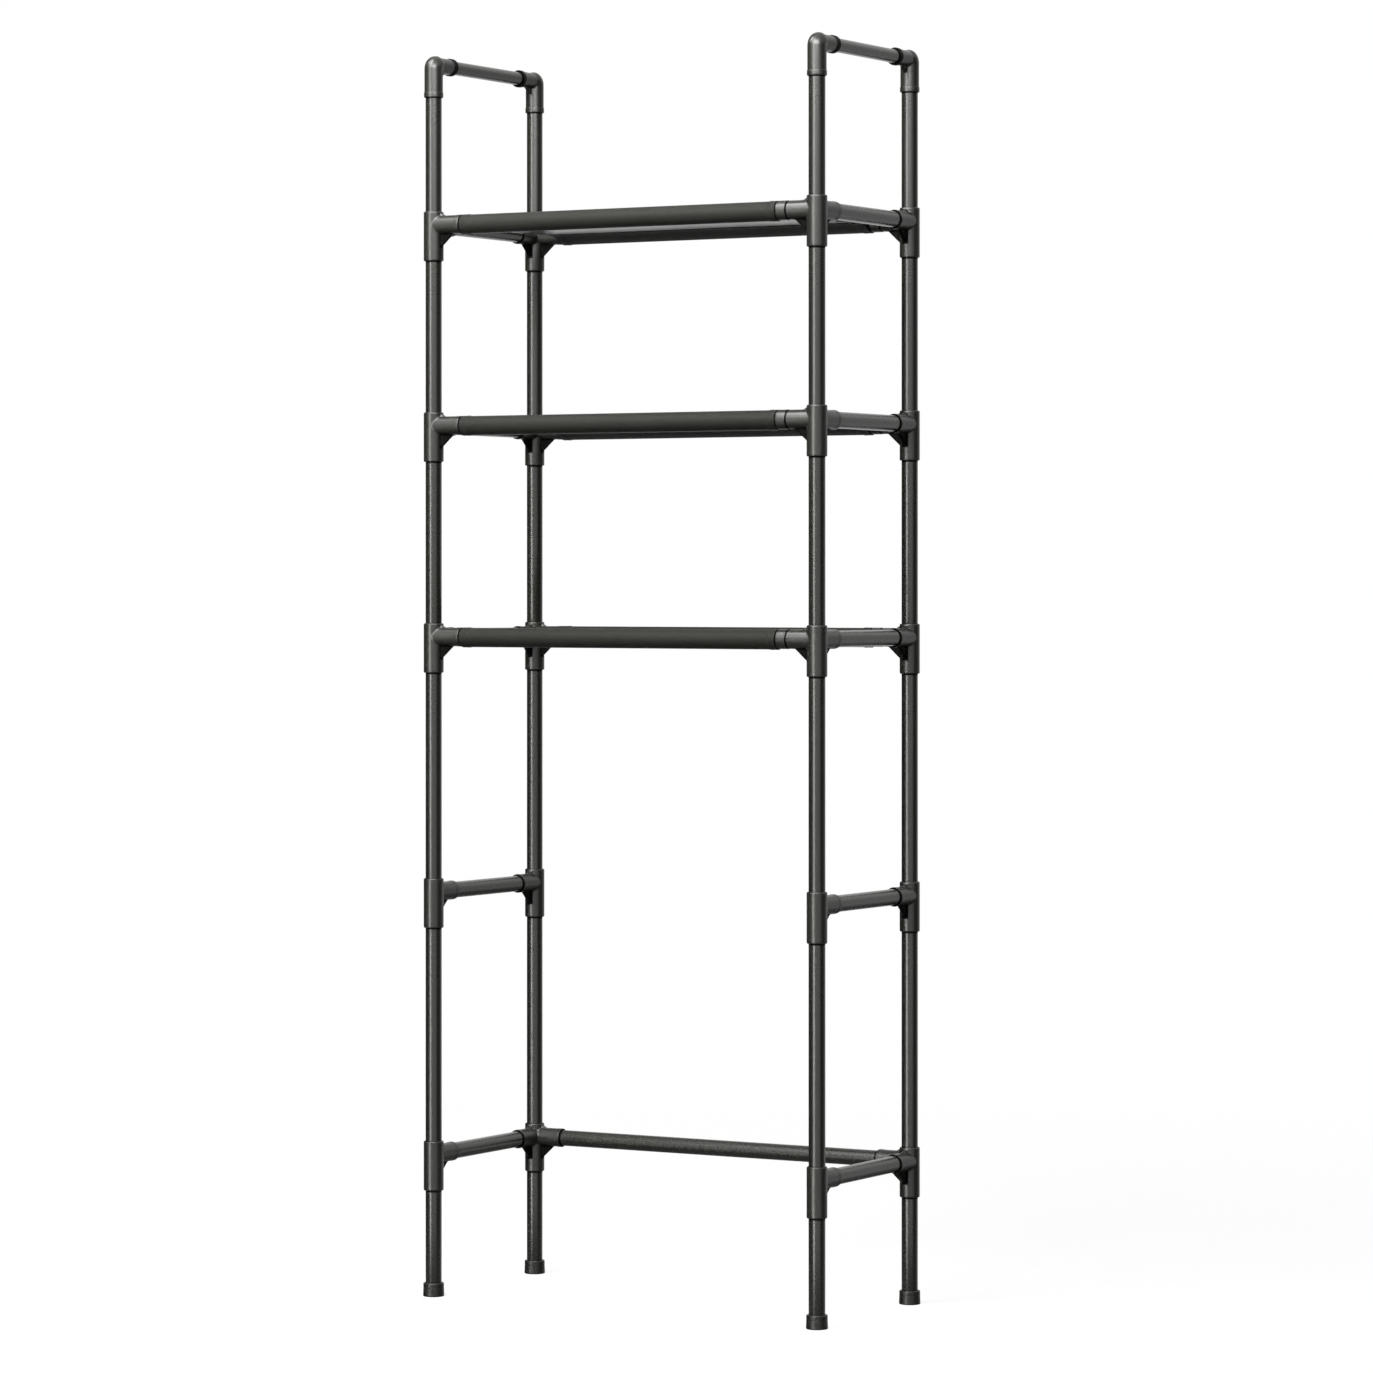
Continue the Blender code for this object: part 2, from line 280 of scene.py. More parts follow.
        if rim:
            Bench.pick(form, "EDGE", lambda edge: not runs_along(edge))
            bpy.ops.mesh.bevel(offset=rim, segments=3)
        if rings:
            Bench.pick(form, "EDGE", lambda edge: runs_along(edge) and edge.calc_length() > (end - start) / 2)
            bpy.ops.mesh.subdivide(number_cuts=rings)
        if rim or rings:
            bpy.ops.object.mode_set(mode="OBJECT")
        return form

    @staticmethod
    def copy_of(source: Piece, name: str, place: Matrix) -> Piece:
        """Copy a modelled piece to its place.

        Args:
            source: the piece as modelled, about the origin.
            name: the copy's name.
            place: the turn and move to its place in the rack.

        Returns:
            The copy, with its own mesh, which holds its place.
        """
        mesh = source.data.copy()
        mesh.name = name
        mesh.transform(place)
        piece = bpy.data.objects.new(name, mesh)
        bpy.context.scene.collection.objects.link(piece)
        return piece

    @staticmethod
    def mark(piece: Piece, mark: Mark, distance: Callable[[Vector], float], reach: float) -> None:
        """Store on each point how close it is to an edge or a joint, for the finishes to read.

        Args:
            piece: the piece as modelled, about the origin.
            mark: what is marked.
            distance: gives a point's distance to the nearest such place.
            reach: how far the mark fades out.
        """
        layer = piece.data.attributes.new(mark.value, "FLOAT", "POINT")
        values = [math.exp(-((distance(vert.co) / reach) ** 2)) for vert in piece.data.vertices]
        layer.data.foreach_set("value", values)


class Graph:
    """Adds and links the nodes of one shader tree."""

    def __init__(self, tree: Tree) -> None:
        """Start on a tree with its default nodes removed."""
        self.tree = tree
        tree.nodes.clear()

    @staticmethod
    def of_material(name: str) -> tuple:
        """Make a material and start on its tree.

        Args:
            name: the material's name.

        Returns:
            The material and its graph.
        """
        material = bpy.data.materials.new(name)
        material.use_nodes = True
        return material, Graph(material.node_tree)

    def node(self, kind: str, inputs: dict | None = None, **settings: Any) -> bpy.types.Node:
        """Add one node.

        Args:
            kind: the node's type, without its ShaderNode prefix.
            inputs: a link or a value for each input, by name or number.
            settings: the node's own values by name.

        Returns:
            The new node.
        """
        made = self.tree.nodes.new("ShaderNode" + kind)
        for name, value in settings.items():
            setattr(made, name, value)
        for key, value in (inputs or {}).items():
            if isinstance(value, Link):
                self.tree.links.new(value, made.inputs[key])
            else:
                made.inputs[key].default_value = value
        return made

    def math(self, operation: str, first: Setting, second: Setting = 0.0) -> Link:
        """The result of a Math node, by Blender's name for the sum and its links or values."""
        return self.node("Math", {0: first, 1: second}, operation=operation).outputs[0]

    def times(self, first: Setting, second: Setting) -> Link:
        """The product of two links or values."""
        return self.math("MULTIPLY", first, second)

    def most(self, first: Setting, second: Setting) -> Link:
        """The greater of two links or values."""
        return self.math("MAXIMUM", first, second)

    def span(self, value: Link, low: float, high: float, to_low: float, to_high: float) -> Link:
        """A value mapped smoothly from the span low to high onto the span to_low to to_high."""
        numbers = {"Value": value, "From Min": low, "From Max": high, "To Min": to_low, "To Max": to_high}
        return self.node("MapRange", numbers, interpolation_type="SMOOTHSTEP").outputs["Result"]

    def blend(self, share: Setting, first: Setting, second: Setting, how: str = "MIX") -> Link:
        """Two colours mixed by the share of the second, with Blender's name for the way of mixing."""
        mix = self.node("Mix", {0: share, 6: first, 7: second}, data_type="RGBA", blend_type=how)
        return mix.outputs[2]

    def noise(self, place: Link, scale: Setting, detail: float, **settings: Any) -> Link:
        """The value of a noise texture at a place."""
        inputs = {"Vector": place, "Scale": scale, "Detail": detail}
        return self.node("TexNoise", inputs, **settings).outputs[0]

    def group(self, tree: Tree, values: dict) -> bpy.types.Node:
        """A shared group with its own values by name."""
        return self.node("Group", values, node_tree=tree)


class Effects:
    """The shader node groups that more than one finish uses, each made once."""

    def __init__(self) -> None:
        """Make the groups."""
        self.drift = self._shade_drift()
        self.grain = self._surface_grain()
        # Lighter rims: wear and a painted highlight.
        self.polish = self._broken_band("Rim polish", Mark.RIM, 0.15)
        # Painted shade at the joints: an uneven dark band where tubes enter mouldings, in grooves and in
        # gusset hollows.
        self.grime = self._broken_band("Joint grime", Mark.JOINT, 0.7)
        self.weave = self._plain_weave()

    @staticmethod
    def _group(name: str, inputs: dict, outputs: dict) -> tuple:
        """Start a group with named sockets.

        Args:
            name: the group's name.
            inputs: the default value of each input by name.
            outputs: the socket type of each output by name.

        Returns:
            The group, its graph, its input node and its output node.
        """
        tree = bpy.data.node_groups.new(name, "ShaderNodeTree")
        graph = Graph(tree)
        for label, value in inputs.items():
            kind = "NodeSocketColor" if isinstance(value, tuple) else "NodeSocketFloat"
            tree.interface.new_socket(label, in_out="INPUT", socket_type=kind).default_value = value
        for label, kind in outputs.items():
            tree.interface.new_socket(label, in_out="OUTPUT", socket_type=kind)
        return tree, graph, tree.nodes.new("NodeGroupInput"), tree.nodes.new("NodeGroupOutput")

    def _shade_drift(self) -> Tree:
        """Make the slow drift between two shades of one colour, with faint streaks of the second shade.

        Returns:
            The group.
        """
        tree, graph, given, result = self._group(
            "Shade drift",
            {"First": (0.03, 0.03, 0.03, 1.0), "Second": (0.04, 0.04, 0.04, 1.0), "Scale": 9.0},
            {"Color": "NodeSocketColor"})
        place = graph.node("TexCoord").outputs["Object"]
        broad = graph.noise(place, given.outputs["Scale"], 3.0)
        fine = graph.noise(place, graph.times(given.outputs["Scale"], 14.0), 4.0)
        mixed = graph.math("ADD", graph.times(broad, 0.65), graph.times(fine, 0.35))
        share = graph.span(mixed, 0.36, 0.64, 0.0, 1.0)
        colour = graph.blend(share, given.outputs["First"], given.outputs["Second"])
        tree.links.new(colour, result.inputs["Color"])
        return tree

    def _surface_grain(self) -> Tree:
        """Make the fine skin of a coating or a moulding: a height and a mask of its hollows.

        Returns:
            The group.
        """
        tree, graph, given, result = self._group(
            "Surface grain", {"Scale": 900.0, "Pitting": 0.4},
            {"Height": "NodeSocketFloat", "Hollows": "NodeSocketFloat"})
        place = graph.node("TexCoord").outputs["Object"]
        ripple = graph.noise(place, given.outputs["Scale"], 2.0)
        pit_scale = graph.times(given.outputs["Scale"], 1.7)
        cells = graph.node("TexVoronoi", {"Vector": place, "Scale": pit_scale}, feature="SMOOTH_F1")
        pits = graph.span(cells.outputs["Distance"], 0.05, 0.55, 0.0, 1.0)
        height = graph.blend(given.outputs["Pitting"], ripple, pits)
        tree.links.new(height, result.inputs["Height"])
        tree.links.new(graph.span(height, 0.3, 0.7, 0.0, 1.0), result.inputs["Hollows"])
        return tree

    def _broken_band(self, name: str, mark: Mark, least: float) -> Tree:
        """Make an uneven band along marked edges, used for rims rubbed smooth and lit with a painted
        highlight, and for joints darkened with painted shade.

        Args:
            name: the group's name.
            mark: the mark that the band follows.
            least: how much of the band is left where it is weakest.

        Returns:
            The group.
        """
        tree, graph, given, result = self._group(
            name, {"Strength": 0.5, "Scale": 260.0}, {"Mask": "NodeSocketFloat"})
        place = graph.node("TexCoord").outputs["Object"]
        band = graph.node("Attribute", attribute_name=mark.value, attribute_type="GEOMETRY").outputs["Fac"]
        patches = graph.noise(place, given.outputs["Scale"], 5.0)
        broken = graph.span(patches, 0.34, 0.62, least, 1.0)
        mask = graph.times(graph.times(band, broken), given.outputs["Strength"])
        tree.links.new(mask, result.inputs["Mask"])
        return tree

    def _plain_weave(self) -> Tree:
        """Make a plain weave on the piece's own UV map, which is in metres.

        Returns:
            The group.
        """
        tree, graph, given, result = self._group(
            "Plain weave", {"Threads per metre": 1500.0},
            {"Height": "NodeSocketFloat", "Warp": "NodeSocketFloat", "Slub": "NodeSocketFloat"})
        chart = graph.node("UVMap", uv_map="UVMap").outputs["UV"]
        uneven = graph.noise(chart, 90.0, 2.0, noise_dimensions="2D")
        nudge = graph.times(graph.math("SUBTRACT", uneven, 0.5), 1.1)
        axes = graph.node("SeparateXYZ", {0: chart})
        waves = []
        for label in ("X", "Y"):
            count = graph.times(axes.outputs[label], given.outputs["Threads per metre"])
            waves.append(graph.math("SINE", graph.times(graph.math("ADD", count, nudge), math.pi)))
        crossing = graph.times(waves[0], waves[1])
        warp = graph.math("GREATER_THAN", crossing, 0.0)
        sizes = [graph.math("ABSOLUTE", wave) for wave in waves]
        soft = [graph.math("POWER", size, 0.4) for size in sizes]
        over = graph.times(sizes[0], soft[1])
        under = graph.times(soft[0], sizes[1])
        height = graph.node("Mix", {0: warp, 2: under, 3: over}, data_type="FLOAT").outputs[0]
        stretch = graph.node("Mapping", {"Vector": chart, "Scale": (14.0, 1400.0, 1.0)})
        slub = graph.noise(stretch.outputs[0], 1.0, 2.0, noise_dimensions="2D")
        tree.links.new(height, result.inputs["Height"])
        tree.links.new(warp, result.inputs["Warp"])
        tree.links.new(graph.span(slub, 0.35, 0.7, 0.0, 1.0), result.inputs["Slub"])
        return tree


@dataclass(frozen=True)
class SkinFinish:
    """A coated or moulded skin: a drifting colour, a fine grain, edges rubbed smooth and lightened as a
    painted highlight, and painted shade at the joints.
    """

    name: str
    first: tuple
    second: tuple
    # The rims' colour, lighter for wear and for a painted highlight.
    worn: tuple
    roughness: tuple
    grain_per_metre: float
    pitting: float
    grain_height: float
    # How strongly the rims are worn and lit with a painted highlight.
    wear: float
    # Painted shade at the joints: its strength, its near-black colour and its roughness.
    grime: float = 0.95
    grime_colour: tuple = (0.004, 0.004, 0.0036)
    grime_roughness: float = 0.38
    coat: float = 0.0
    coat_roughness: float = 0.22
    specular: float = 0.5
    rub: float = 0.35
    bump: float = 0.35

    def make(self, effects: Effects) -> Material:
        """Make the material.

        Args:
            effects: the shared node groups.

        Returns:
            The material.
        """
        material, graph = Graph.of_material(self.name)
        drift = graph.group(effects.drift, {"First": (*self.first, 1.0), "Second": (*self.second, 1.0)})
        grain = graph.group(effects.grain, {"Scale": self.grain_per_metre, "Pitting": self.pitting})
        polish = graph.group(effects.polish, {"Strength": self.wear})
        grime = graph.group(effects.grime, {"Strength": self.grime})
        # Rims are lightened for wear and a painted highlight, then painted shade darkens and roughens the
        # joints.
        rubbed_and_lit_colour = graph.blend(polish.outputs["Mask"], drift.outputs["Color"], (*self.worn, 1.0))
        colour = graph.blend(grime.outputs["Mask"], rubbed_and_lit_colour, (*self.grime_colour, 1.0))
        smooth, rough = self.roughness
        skin = graph.span(grain.outputs["Hollows"], 0.0, 1.0, smooth, rough)
        rubbed = graph.times(polish.outputs["Mask"], self.rub)
        clean = graph.times(skin, graph.math("SUBTRACT", 1.0, rubbed))
        roughness = graph.node("Mix", {0: grime.outputs["Mask"], 2: clean, 3: self.grime_roughness},
                               data_type="FLOAT").outputs[0]
        bump = graph.node("Bump", {"Strength": self.bump, "Distance": self.grain_height,
                                   "Height": grain.outputs["Height"]})
        shader = graph.node("BsdfPrincipled", {
            "Base Color": colour, "Roughness": roughness, "Normal": bump.outputs[0],
            "Specular IOR Level": self.specular, "Coat Weight": self.coat,
            "Coat Roughness": self.coat_roughness})
        graph.node("OutputMaterial", {"Surface": shader.outputs[0]})
        return material


@dataclass(frozen=True)
class ClothFinish:
    """A woven cloth or a thread: a plain weave with slubs, a faint sheen and a thin coat on its back."""

    name: str
    first: tuple
    second: tuple
    warp_tint: tuple
    threads_per_metre: float
    weave_height: float
    roughness: float
    sheen: float
    sheen_roughness: float = 0.4
    specular: float = 0.1
    warp_share: float = 0.5
    slub_share: float = 0.3
    valley_shade: float = 0.55
    bump: float = 0.6
    back_facing: tuple = (-0.985, -0.998)
    back_coat: float = 0.65
    back_roughness: float = 0.22

    def make(self, effects: Effects) -> Material:
        """Make the material.

        Args:
            effects: the shared node groups.

        Returns:
            The material.
        """
        material, graph = Graph.of_material(self.name)
        drift = graph.group(effects.drift, {"First": (*self.first, 1.0), "Second": (*self.second, 1.0)})
        weave = graph.group(effects.weave, {"Threads per metre": self.threads_per_metre})
        threads = graph.times(weave.outputs["Warp"], self.warp_share)
        dyed = graph.blend(threads, drift.outputs["Color"], (*self.warp_tint, 1.0))
        slubs = graph.times(weave.outputs["Slub"], self.slub_share)
        slubbed = graph.blend(slubs, dyed, (*self.second, 1.0))
        valleys = graph.span(weave.outputs["Height"], 0.0, 0.7, self.valley_shade, 1.0)
        colour = graph.blend(1.0, slubbed, valleys, "MULTIPLY")
        bump = graph.node("Bump", {"Strength": self.bump, "Distance": self.weave_height,
                                   "Height": weave.outputs["Height"]})
        facing = graph.node("SeparateXYZ", {"Vector": graph.node("TexCoord").outputs["Normal"]})
        coated = graph.span(facing.outputs["Z"], *self.back_facing, 0.0, self.back_coat)
        shader = graph.node("BsdfPrincipled", {
            "Base Color": colour, "Roughness": self.roughness, "Normal": bump.outputs[0],
            "Specular IOR Level": self.specular, "Coat Weight": coated,
            "Coat Roughness": self.back_roughness, "Sheen Weight": self.sheen,
            "Sheen Roughness": self.sheen_roughness})
        graph.node("OutputMaterial", {"Surface": shader.outputs[0]})
        return material


class Finishes:
    """The rack's materials."""

    def __init__(self) -> None:
        """Make every material once."""
        effects = Effects()
        # Each skin: two drifting shades, a rim colour lighter for wear and a painted highlight, a roughness
        # span, grain, pitting, grain height and rim strength.
        self.tube = SkinFinish(
            "satin_coated_steel", (0.021, 0.0213, 0.0165), (0.026, 0.0262, 0.0206), (0.06, 0.06, 0.052),
            (0.25, 0.29), 420.0, 0.1, 0.0000015, 0.0, coat=0.15).make(effects)
        self.moulding = SkinFinish(
            "moulded_connector_plastic", (0.0205, 0.0206, 0.0168), (0.0255, 0.0255, 0.021),
            (0.055, 0.055, 0.048), (0.26, 0.35), 1900.0, 0.6, 0.00003, 0.5).make(effects)
        self.foot = SkinFinish(
            "foot_cap_plastic", (0.012, 0.012, 0.0105), (0.017, 0.017, 0.0148), (0.035, 0.035, 0.031),
            (0.34, 0.44), 1400.0, 0.7, 0.00004, 0.5, specular=0.33).make(effects)
        # A near-black finish for the faces deep in the joints and on the gussets: a painted shadow.
        self.recess = SkinFinish(
            "joint_recess", (0.004, 0.004, 0.0036), (0.006, 0.006, 0.0054), (0.008, 0.008, 0.0073),
            (0.45, 0.6), 900.0, 0.5, 0.00001, 0.0, specular=0.04).make(effects)
        self.cloth = ClothFinish(
            "woven_shelf_fabric", (0.0295, 0.0295, 0.0255), (0.0365, 0.0365, 0.0316),
            (0.0396, 0.0396, 0.0348), 1500.0, 0.00014, 0.52, 0.06).make(effects)
        self.thread = ClothFinish(
            "sewing_thread", (0.05, 0.05, 0.046), (0.062, 0.062, 0.057), (0.07, 0.07, 0.064),
            3200.0, 0.00008, 0.6, 0.1).make(effects)


class Layout:
    """Where the posts and levels are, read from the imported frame."""

    @staticmethod
    def middle(node: str) -> Vector:
        """The middle of a node's box."""
        low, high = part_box(node)
        return (Vector(low) + Vector(high)) / 2

    @staticmethod
    def post(corner: Corner) -> Vector:
        """A post's axis on the floor."""
        middle = Layout.middle(f"post_{corner.label}_lower")
        return Vector((middle.x, middle.y, 0.0))

    @staticmethod
    def height(level: str) -> float:
        """The height of a level's bar axes."""
        return Layout.middle(f"{level}_side_bar_left").z

    @staticmethod
    def at(corner: Corner, level: str, turn: float) -> Matrix:
        """The place of a connector on a post at a level, turned about the post by some degrees."""
        point = Layout.post(corner) + Vector((0.0, 0.0, Layout.height(level)))
        return Matrix.Translation(point) @ Matrix.Rotation(math.radians(turn), 4, "Z")


def dress(piece: Piece, finish: Material, slot: str, *nodes: str,
          recess: Material | None = None) -> None:
    """Give a piece its finish and its body, and let it stand for its CAD nodes.

    Args:
        piece: the finished piece.
        finish: its material.
        slot: the name of a material slot; not used.
        nodes: the CAD nodes that it replaces.
        recess: the near-black finish of the faces deep in its joints, a painted shadow, if it has any.
    """
    piece.data.materials.clear()
    piece.data.materials.append(finish)
    # Faces deep in a joint get the painted shadow finish.
    if recess:
        piece.data.materials.append(recess)
        marks = [point.value > RECESS_MARK for point in piece.data.attributes[Mark.JOINT.value].data]
        deep = [int(all(marks[vert] for vert in face.vertices)) for face in piece.data.polygons]
        piece.data.polygons.foreach_set("material_index", deep)
    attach(piece, BODY)
    if nodes:
        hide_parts(*nodes)
    piece.data.calc_loop_triangles()
    LOG.info("%s: %d triangles", piece.name, len(piece.data.loop_triangles))


@dataclass
class TubeFrame:
    """The coated steel tubes: eight post lengths and every bar."""

    radius: float = 0.0095
    top_bar_radius: float = 0.008
    wall: float = 0.0006
    rim_round: float = 0.00018
    sides: int = 64
    # Painted shade where a tube comes out of a moulding: how far it is full, how far it fades, and the loops
    # that hold it.
    joint_depth: float = 0.0010
    joint_reach: float = 0.0014
    joint_loops: tuple = (-0.0012, 0.0, 0.0008, 0.0015, 0.0024, 0.0038)

    @staticmethod
    def joints(low: Vector, high: Vector, axis: Axis) -> tuple:
        """Find where a tube comes out of its mouldings, other than at the top of a sleeve.

        Args:
            low: the low corner of the tube's box.
            high: the high corner of the tube's box.
            axis: the tube's axis.

        Returns:
            For each such place its distance from the tube's middle along the axis, and the way out, 1 or -1.
        """
        k = axis.index
        middle = (low + high)[k] / 2
        found = []
        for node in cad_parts:
            if not any(word in node for word in ("_corner_", "_tee_", "top_elbow_", "foot_cap_")):
                continue
            ends = [Vector(corner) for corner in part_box(node)]
            if any(ends[0][side] > high[side] or ends[1][side] < low[side] for side in range(3)):
                continue
            if axis is Axis.X and "_shelf_corner_" in node and node.endswith("right"):
                ends[0].x -= Connectors.long_reach - Connectors.socket_reach
            for end, way in zip(ends, (-1, 1)):
                top_rim = axis is Axis.Z and way > 0
                if low[k] < end[k] < high[k] and not top_rim:
                    found.append((round(end[k] - middle, 5), way))
        return tuple(sorted(found))

    def model(self, length: float, radius: float, joints: tuple) -> Piece:
        """Model one tube along Z about the origin: a bored rod with rounded rims.

        Args:
            length: the tube's length.
            radius: its radius.
            joints: where it comes out of its mouldings, and the way out.

        Returns:
            The tube.
        """
        end = length / 2
        tube = Bench.rod(radius, -end, end, Axis.Z, sides=self.sides)
        for place, way in joints:
            for step in self.joint_loops:
                Bench.plane_cut(tube, (0, 0, place + way * step), (0, 0, 1))
        Bench.pick(tube, "FACE", lambda face: abs(face.normal.z) > 0.9)
        bpy.ops.mesh.inset(thickness=self.wall, use_individual=True)
        bpy.ops.mesh.delete(type="FACE")
        Bench.pick(tube, "EDGE", lambda edge: edge.is_boundary)
        bpy.ops.mesh.bridge_edge_loops()

        def on_rim(edge: bmesh.types.BMEdge) -> bool:
            """Whether an edge goes round one of the tube's rims."""
            first, second = edge.verts
            level = all(abs(abs(vert.co.z) - end) < TINY for vert in edge.verts)
            return level and abs(first.co.xy.length - second.co.xy.length) < self.wall / 2

        Bench.pick(tube, "EDGE", on_rim)
        bpy.ops.mesh.bevel(offset=self.rim_round, segments=2)
        Bench.smooth(tube, TUBE_CREASE)

        def to_joint(point: Vector) -> float:
            """How far outside the nearest moulding a point is."""
            outside = [(point.z - place) * way for place, way in joints]
            near = [max(0.0, gap - self.joint_depth) for gap in outside if gap > -self.joint_reach]
            return min(near, default=1.0)

        # Mark the painted shade at the joints.
        Bench.mark(tube, Mark.JOINT, to_joint, self.joint_reach)
        return tube

    def build(self, finishes: Finishes) -> None:
        """Model each kind of tube once and copy it to every node of that kind.

        Args:
            finishes: the rack's materials.
        """
        sources: dict = {}
        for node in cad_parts:
            is_post = node.startswith("post_")
            if not is_post and "_bar" not in node:
                continue
            low, high = (Vector(corner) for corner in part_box(node))
            size = high - low
            axis = max(Axis, key=lambda choice: size[choice.index])
            radius = self.top_bar_radius if node.startswith("top_side_bar") else self.radius
            kind = (round(size[axis.index], 5), radius, self.joints(low, high, axis))
            if kind not in sources:
                sources[kind] = self.model(*kind)
            turn = Matrix.Rotation(axis.value[0], 4, "X") @ Matrix.Rotation(axis.value[1], 4, "Y")
            tube = Bench.copy_of(sources[kind], f"{node}_coated", Matrix.Translation((low + high) / 2) @ turn)
            slot = "post_tube" if is_post else "bar_tube"
            dress(tube, finishes.tube, slot, node, recess=finishes.recess)
        LOG.info("%d kinds of tube", len(sources))
        Bench.discard(*sources.values())


@dataclass
class Connectors:
    """The push-fit mouldings on the posts: three-way corners and two-way tees."""

    sleeve_radius: float = 0.01175
    sleeve_above: float = 0.016
    sleeve_below: float = 0.0425
    sleeve_round: float = 0.0012
    socket_radius: float = 0.0110
    socket_reach: float = 0.0402
    long_reach: float = 0.0484
    socket_stop: float = 0.0138
    collar_radius: float = 0.01125
    collar_start: float = 0.0338
    collar_round: float = 0.0006
    groove_place: float = 0.0352
    groove_radius: float = 0.0103
    groove_width: float = 0.0022
    groove_neck: float = 0.01
    overlap: float = 0.002
    cutter_margin: float = 0.001
    bore_radius: float = 0.0098
    bore_skin: float = 0.0004
    slack: float = 0.00005
    mouth_flare: float = 0.0009
    mouth_depth: float = 0.0022
    mouth_past: float = 0.00002
    sleeve_flare: float = 0.6
    socket_flare: float = 1.0
    web_thickness: float = 0.005
    web_run: float = 0.0155
    web_drop: float = 0.014
    fillet_run: float = 0.0045
    fillet_rise: float = 0.0025
    fillet_thickness: float = 0.006
    voxel: float = 0.0007
    smoothing: int = 5
    thinning: float = 0.45
    rim_reach: float = 0.0011
    # Painted shade at mouths, grooves and the hollows beside the gussets: how far it reaches, and how far the
    # hollows' shade reaches.
    joint_reach: float = 0.0007
    hollow_reach: float = 0.0035
    hollow_margin: tuple = (0.001, 0.0015)
    hollow_slope: float = 0.7

    def web(self, axis: Axis, run: float, fall: float, thickness: float, inner: tuple) -> Piece:
        """Model a gusset: a three-cornered plate in the corner under or over a socket.

        Args:
            axis: the socket's axis.
            run: how far it runs along the socket from the sleeve.
            fall: how far it runs along the sleeve from the socket, below it if negative.
            thickness: the plate's thickness.
            inner: the radii of the sleeve and the socket that it joins.

        Returns:
            The gusset.
        """
        sleeve, socket = inner
        side = math.copysign(1.0, fall)
        length = sleeve + run + self.cutter_margin
        height = side * (socket + abs(fall))
        plate = Bench.start(bpy.ops.mesh.primitive_cube_add, size=1)
        plate.location = (length / 2, 0, height / 2)
        plate.scale = (length, thickness, abs(height))
        Bench.settle(plate)
        edge_normal = Vector((abs(fall), 0, side * run)).normalized()
        Bench.plane_cut(
            plate, (sleeve, 0, height), edge_normal, clear_outer=True, use_fill=True, threshold=TINY)
        Bench.leave(plate)
        if axis is Axis.Y:
            plate.rotation_euler = (0, 0, math.pi / 2)
            Bench.settle(plate)
        return plate

    def soften(self, core: Piece) -> None:
        """Run the joined forms together with the small fillets of a moulding."""
        Bench.modify(core, "REMESH", mode="VOXEL", voxel_size=self.voxel)
        Bench.modify(core, "SMOOTH", factor=0.5, iterations=self.smoothing)
        Bench.modify(core, "DECIMATE", ratio=self.thinning)

    def model(self, arms: dict[Axis, float]) -> Piece:
        """Model a connector about the crossing of its axes, with its post sleeve along Z.

        Args:
            arms: the axes that its bar sockets point along, and how far each socket reaches.

        Returns:
            The connector.
        """
        core = Bench.rod(self.sleeve_radius, -self.sleeve_below, self.sleeve_above, Axis.Z, self.sleeve_round)
        radii = (self.sleeve_radius, self.socket_radius)
        for arm in arms:
            Bench.join(
                core, Bench.rod(self.socket_radius, 0, self.collar_start + self.overlap, arm),
                self.web(arm, self.web_run, -self.web_drop, self.web_thickness, radii),
                self.web(arm, self.fillet_run, self.fillet_rise, self.fillet_thickness, radii))
        self.soften(core)
        for arm, reach in arms.items():
            is_long = reach > self.socket_reach
            start = self.groove_place if is_long else self.collar_start
            Bench.join(core, Bench.rod(self.collar_radius, start, reach, arm, self.collar_round, rings=6))
            if is_long:
                half = self.groove_width / 2
                neck = self.groove_neck
                ring = Bench.rod(self.collar_radius + self.cutter_margin, start - half, start + half, arm)
                Bench.cut(ring, Bench.rod(self.groove_radius, start - neck, start + neck, arm))
                Bench.cut(core, ring)
        flare = self.sleeve_flare
        ends = ((-self.sleeve_below, -1.0, flare), (self.sleeve_above, 1.0, flare))
        Bench.cut(core, self.bore(self.bore_radius, -PAST_END, PAST_END, Axis.Z, ends))
        for arm, reach in arms.items():
            mouth = ((reach, 1.0, self.socket_flare),)
            Bench.cut(core, self.bore(self.bore_radius, self.socket_stop, PAST_END, arm, mouth))
        Bench.smooth(core, MOULDING_CREASE)
        # Rims lighter for wear and a painted highlight; painted shade at mouths, grooves and gussets.
        Bench.mark(core, Mark.RIM, lambda point: self.rim_distance(point, arms), self.rim_reach)
        Bench.mark(core, Mark.JOINT, lambda point: self.joint_distance(point, arms), self.joint_reach)
        return core

    def bore(self, radius: float, start: float, end: float, axis: Axis, mouths: Sequence) -> Piece:
        """Model what a bore takes away, with a small lead-in at each mouth.

        Args:
            radius: the bore's radius.
            start: where it starts on the axis.
            end: where it ends on the axis.
            axis: the bore's axis.
            mouths: for each mouth its place, the way out, 1 or -1, and its share of the full flare.

        Returns:
            The form to cut away.
        """
        form = Bench.rod(radius, start, end, axis)
        k = axis.index
        for mouth, way, share in mouths:
            for place in (mouth - way * self.mouth_depth, mouth + way * self.mouth_past):
                Bench.plane_cut(form, axis.along(place), axis.along(1.0), threshold=TINY)
            grow = 1 + self.mouth_flare * share / radius
            Bench.pick(form, "VERT", lambda vert: (vert.co[k] - mouth) * way > 0)
            bpy.ops.transform.resize(
                value=[1.0 if place == k else grow for place in range(3)], center_override=axis.along(mouth))
        Bench.leave(form)
        return form

    @staticmethod
    def about(point: Vector, arm: Axis) -> tuple:
        """A point's distances along an arm, across it on the level, and from its axis."""
        across = point[1 - arm.index]
        return point[arm.index], across, math.hypot(across, point.z)

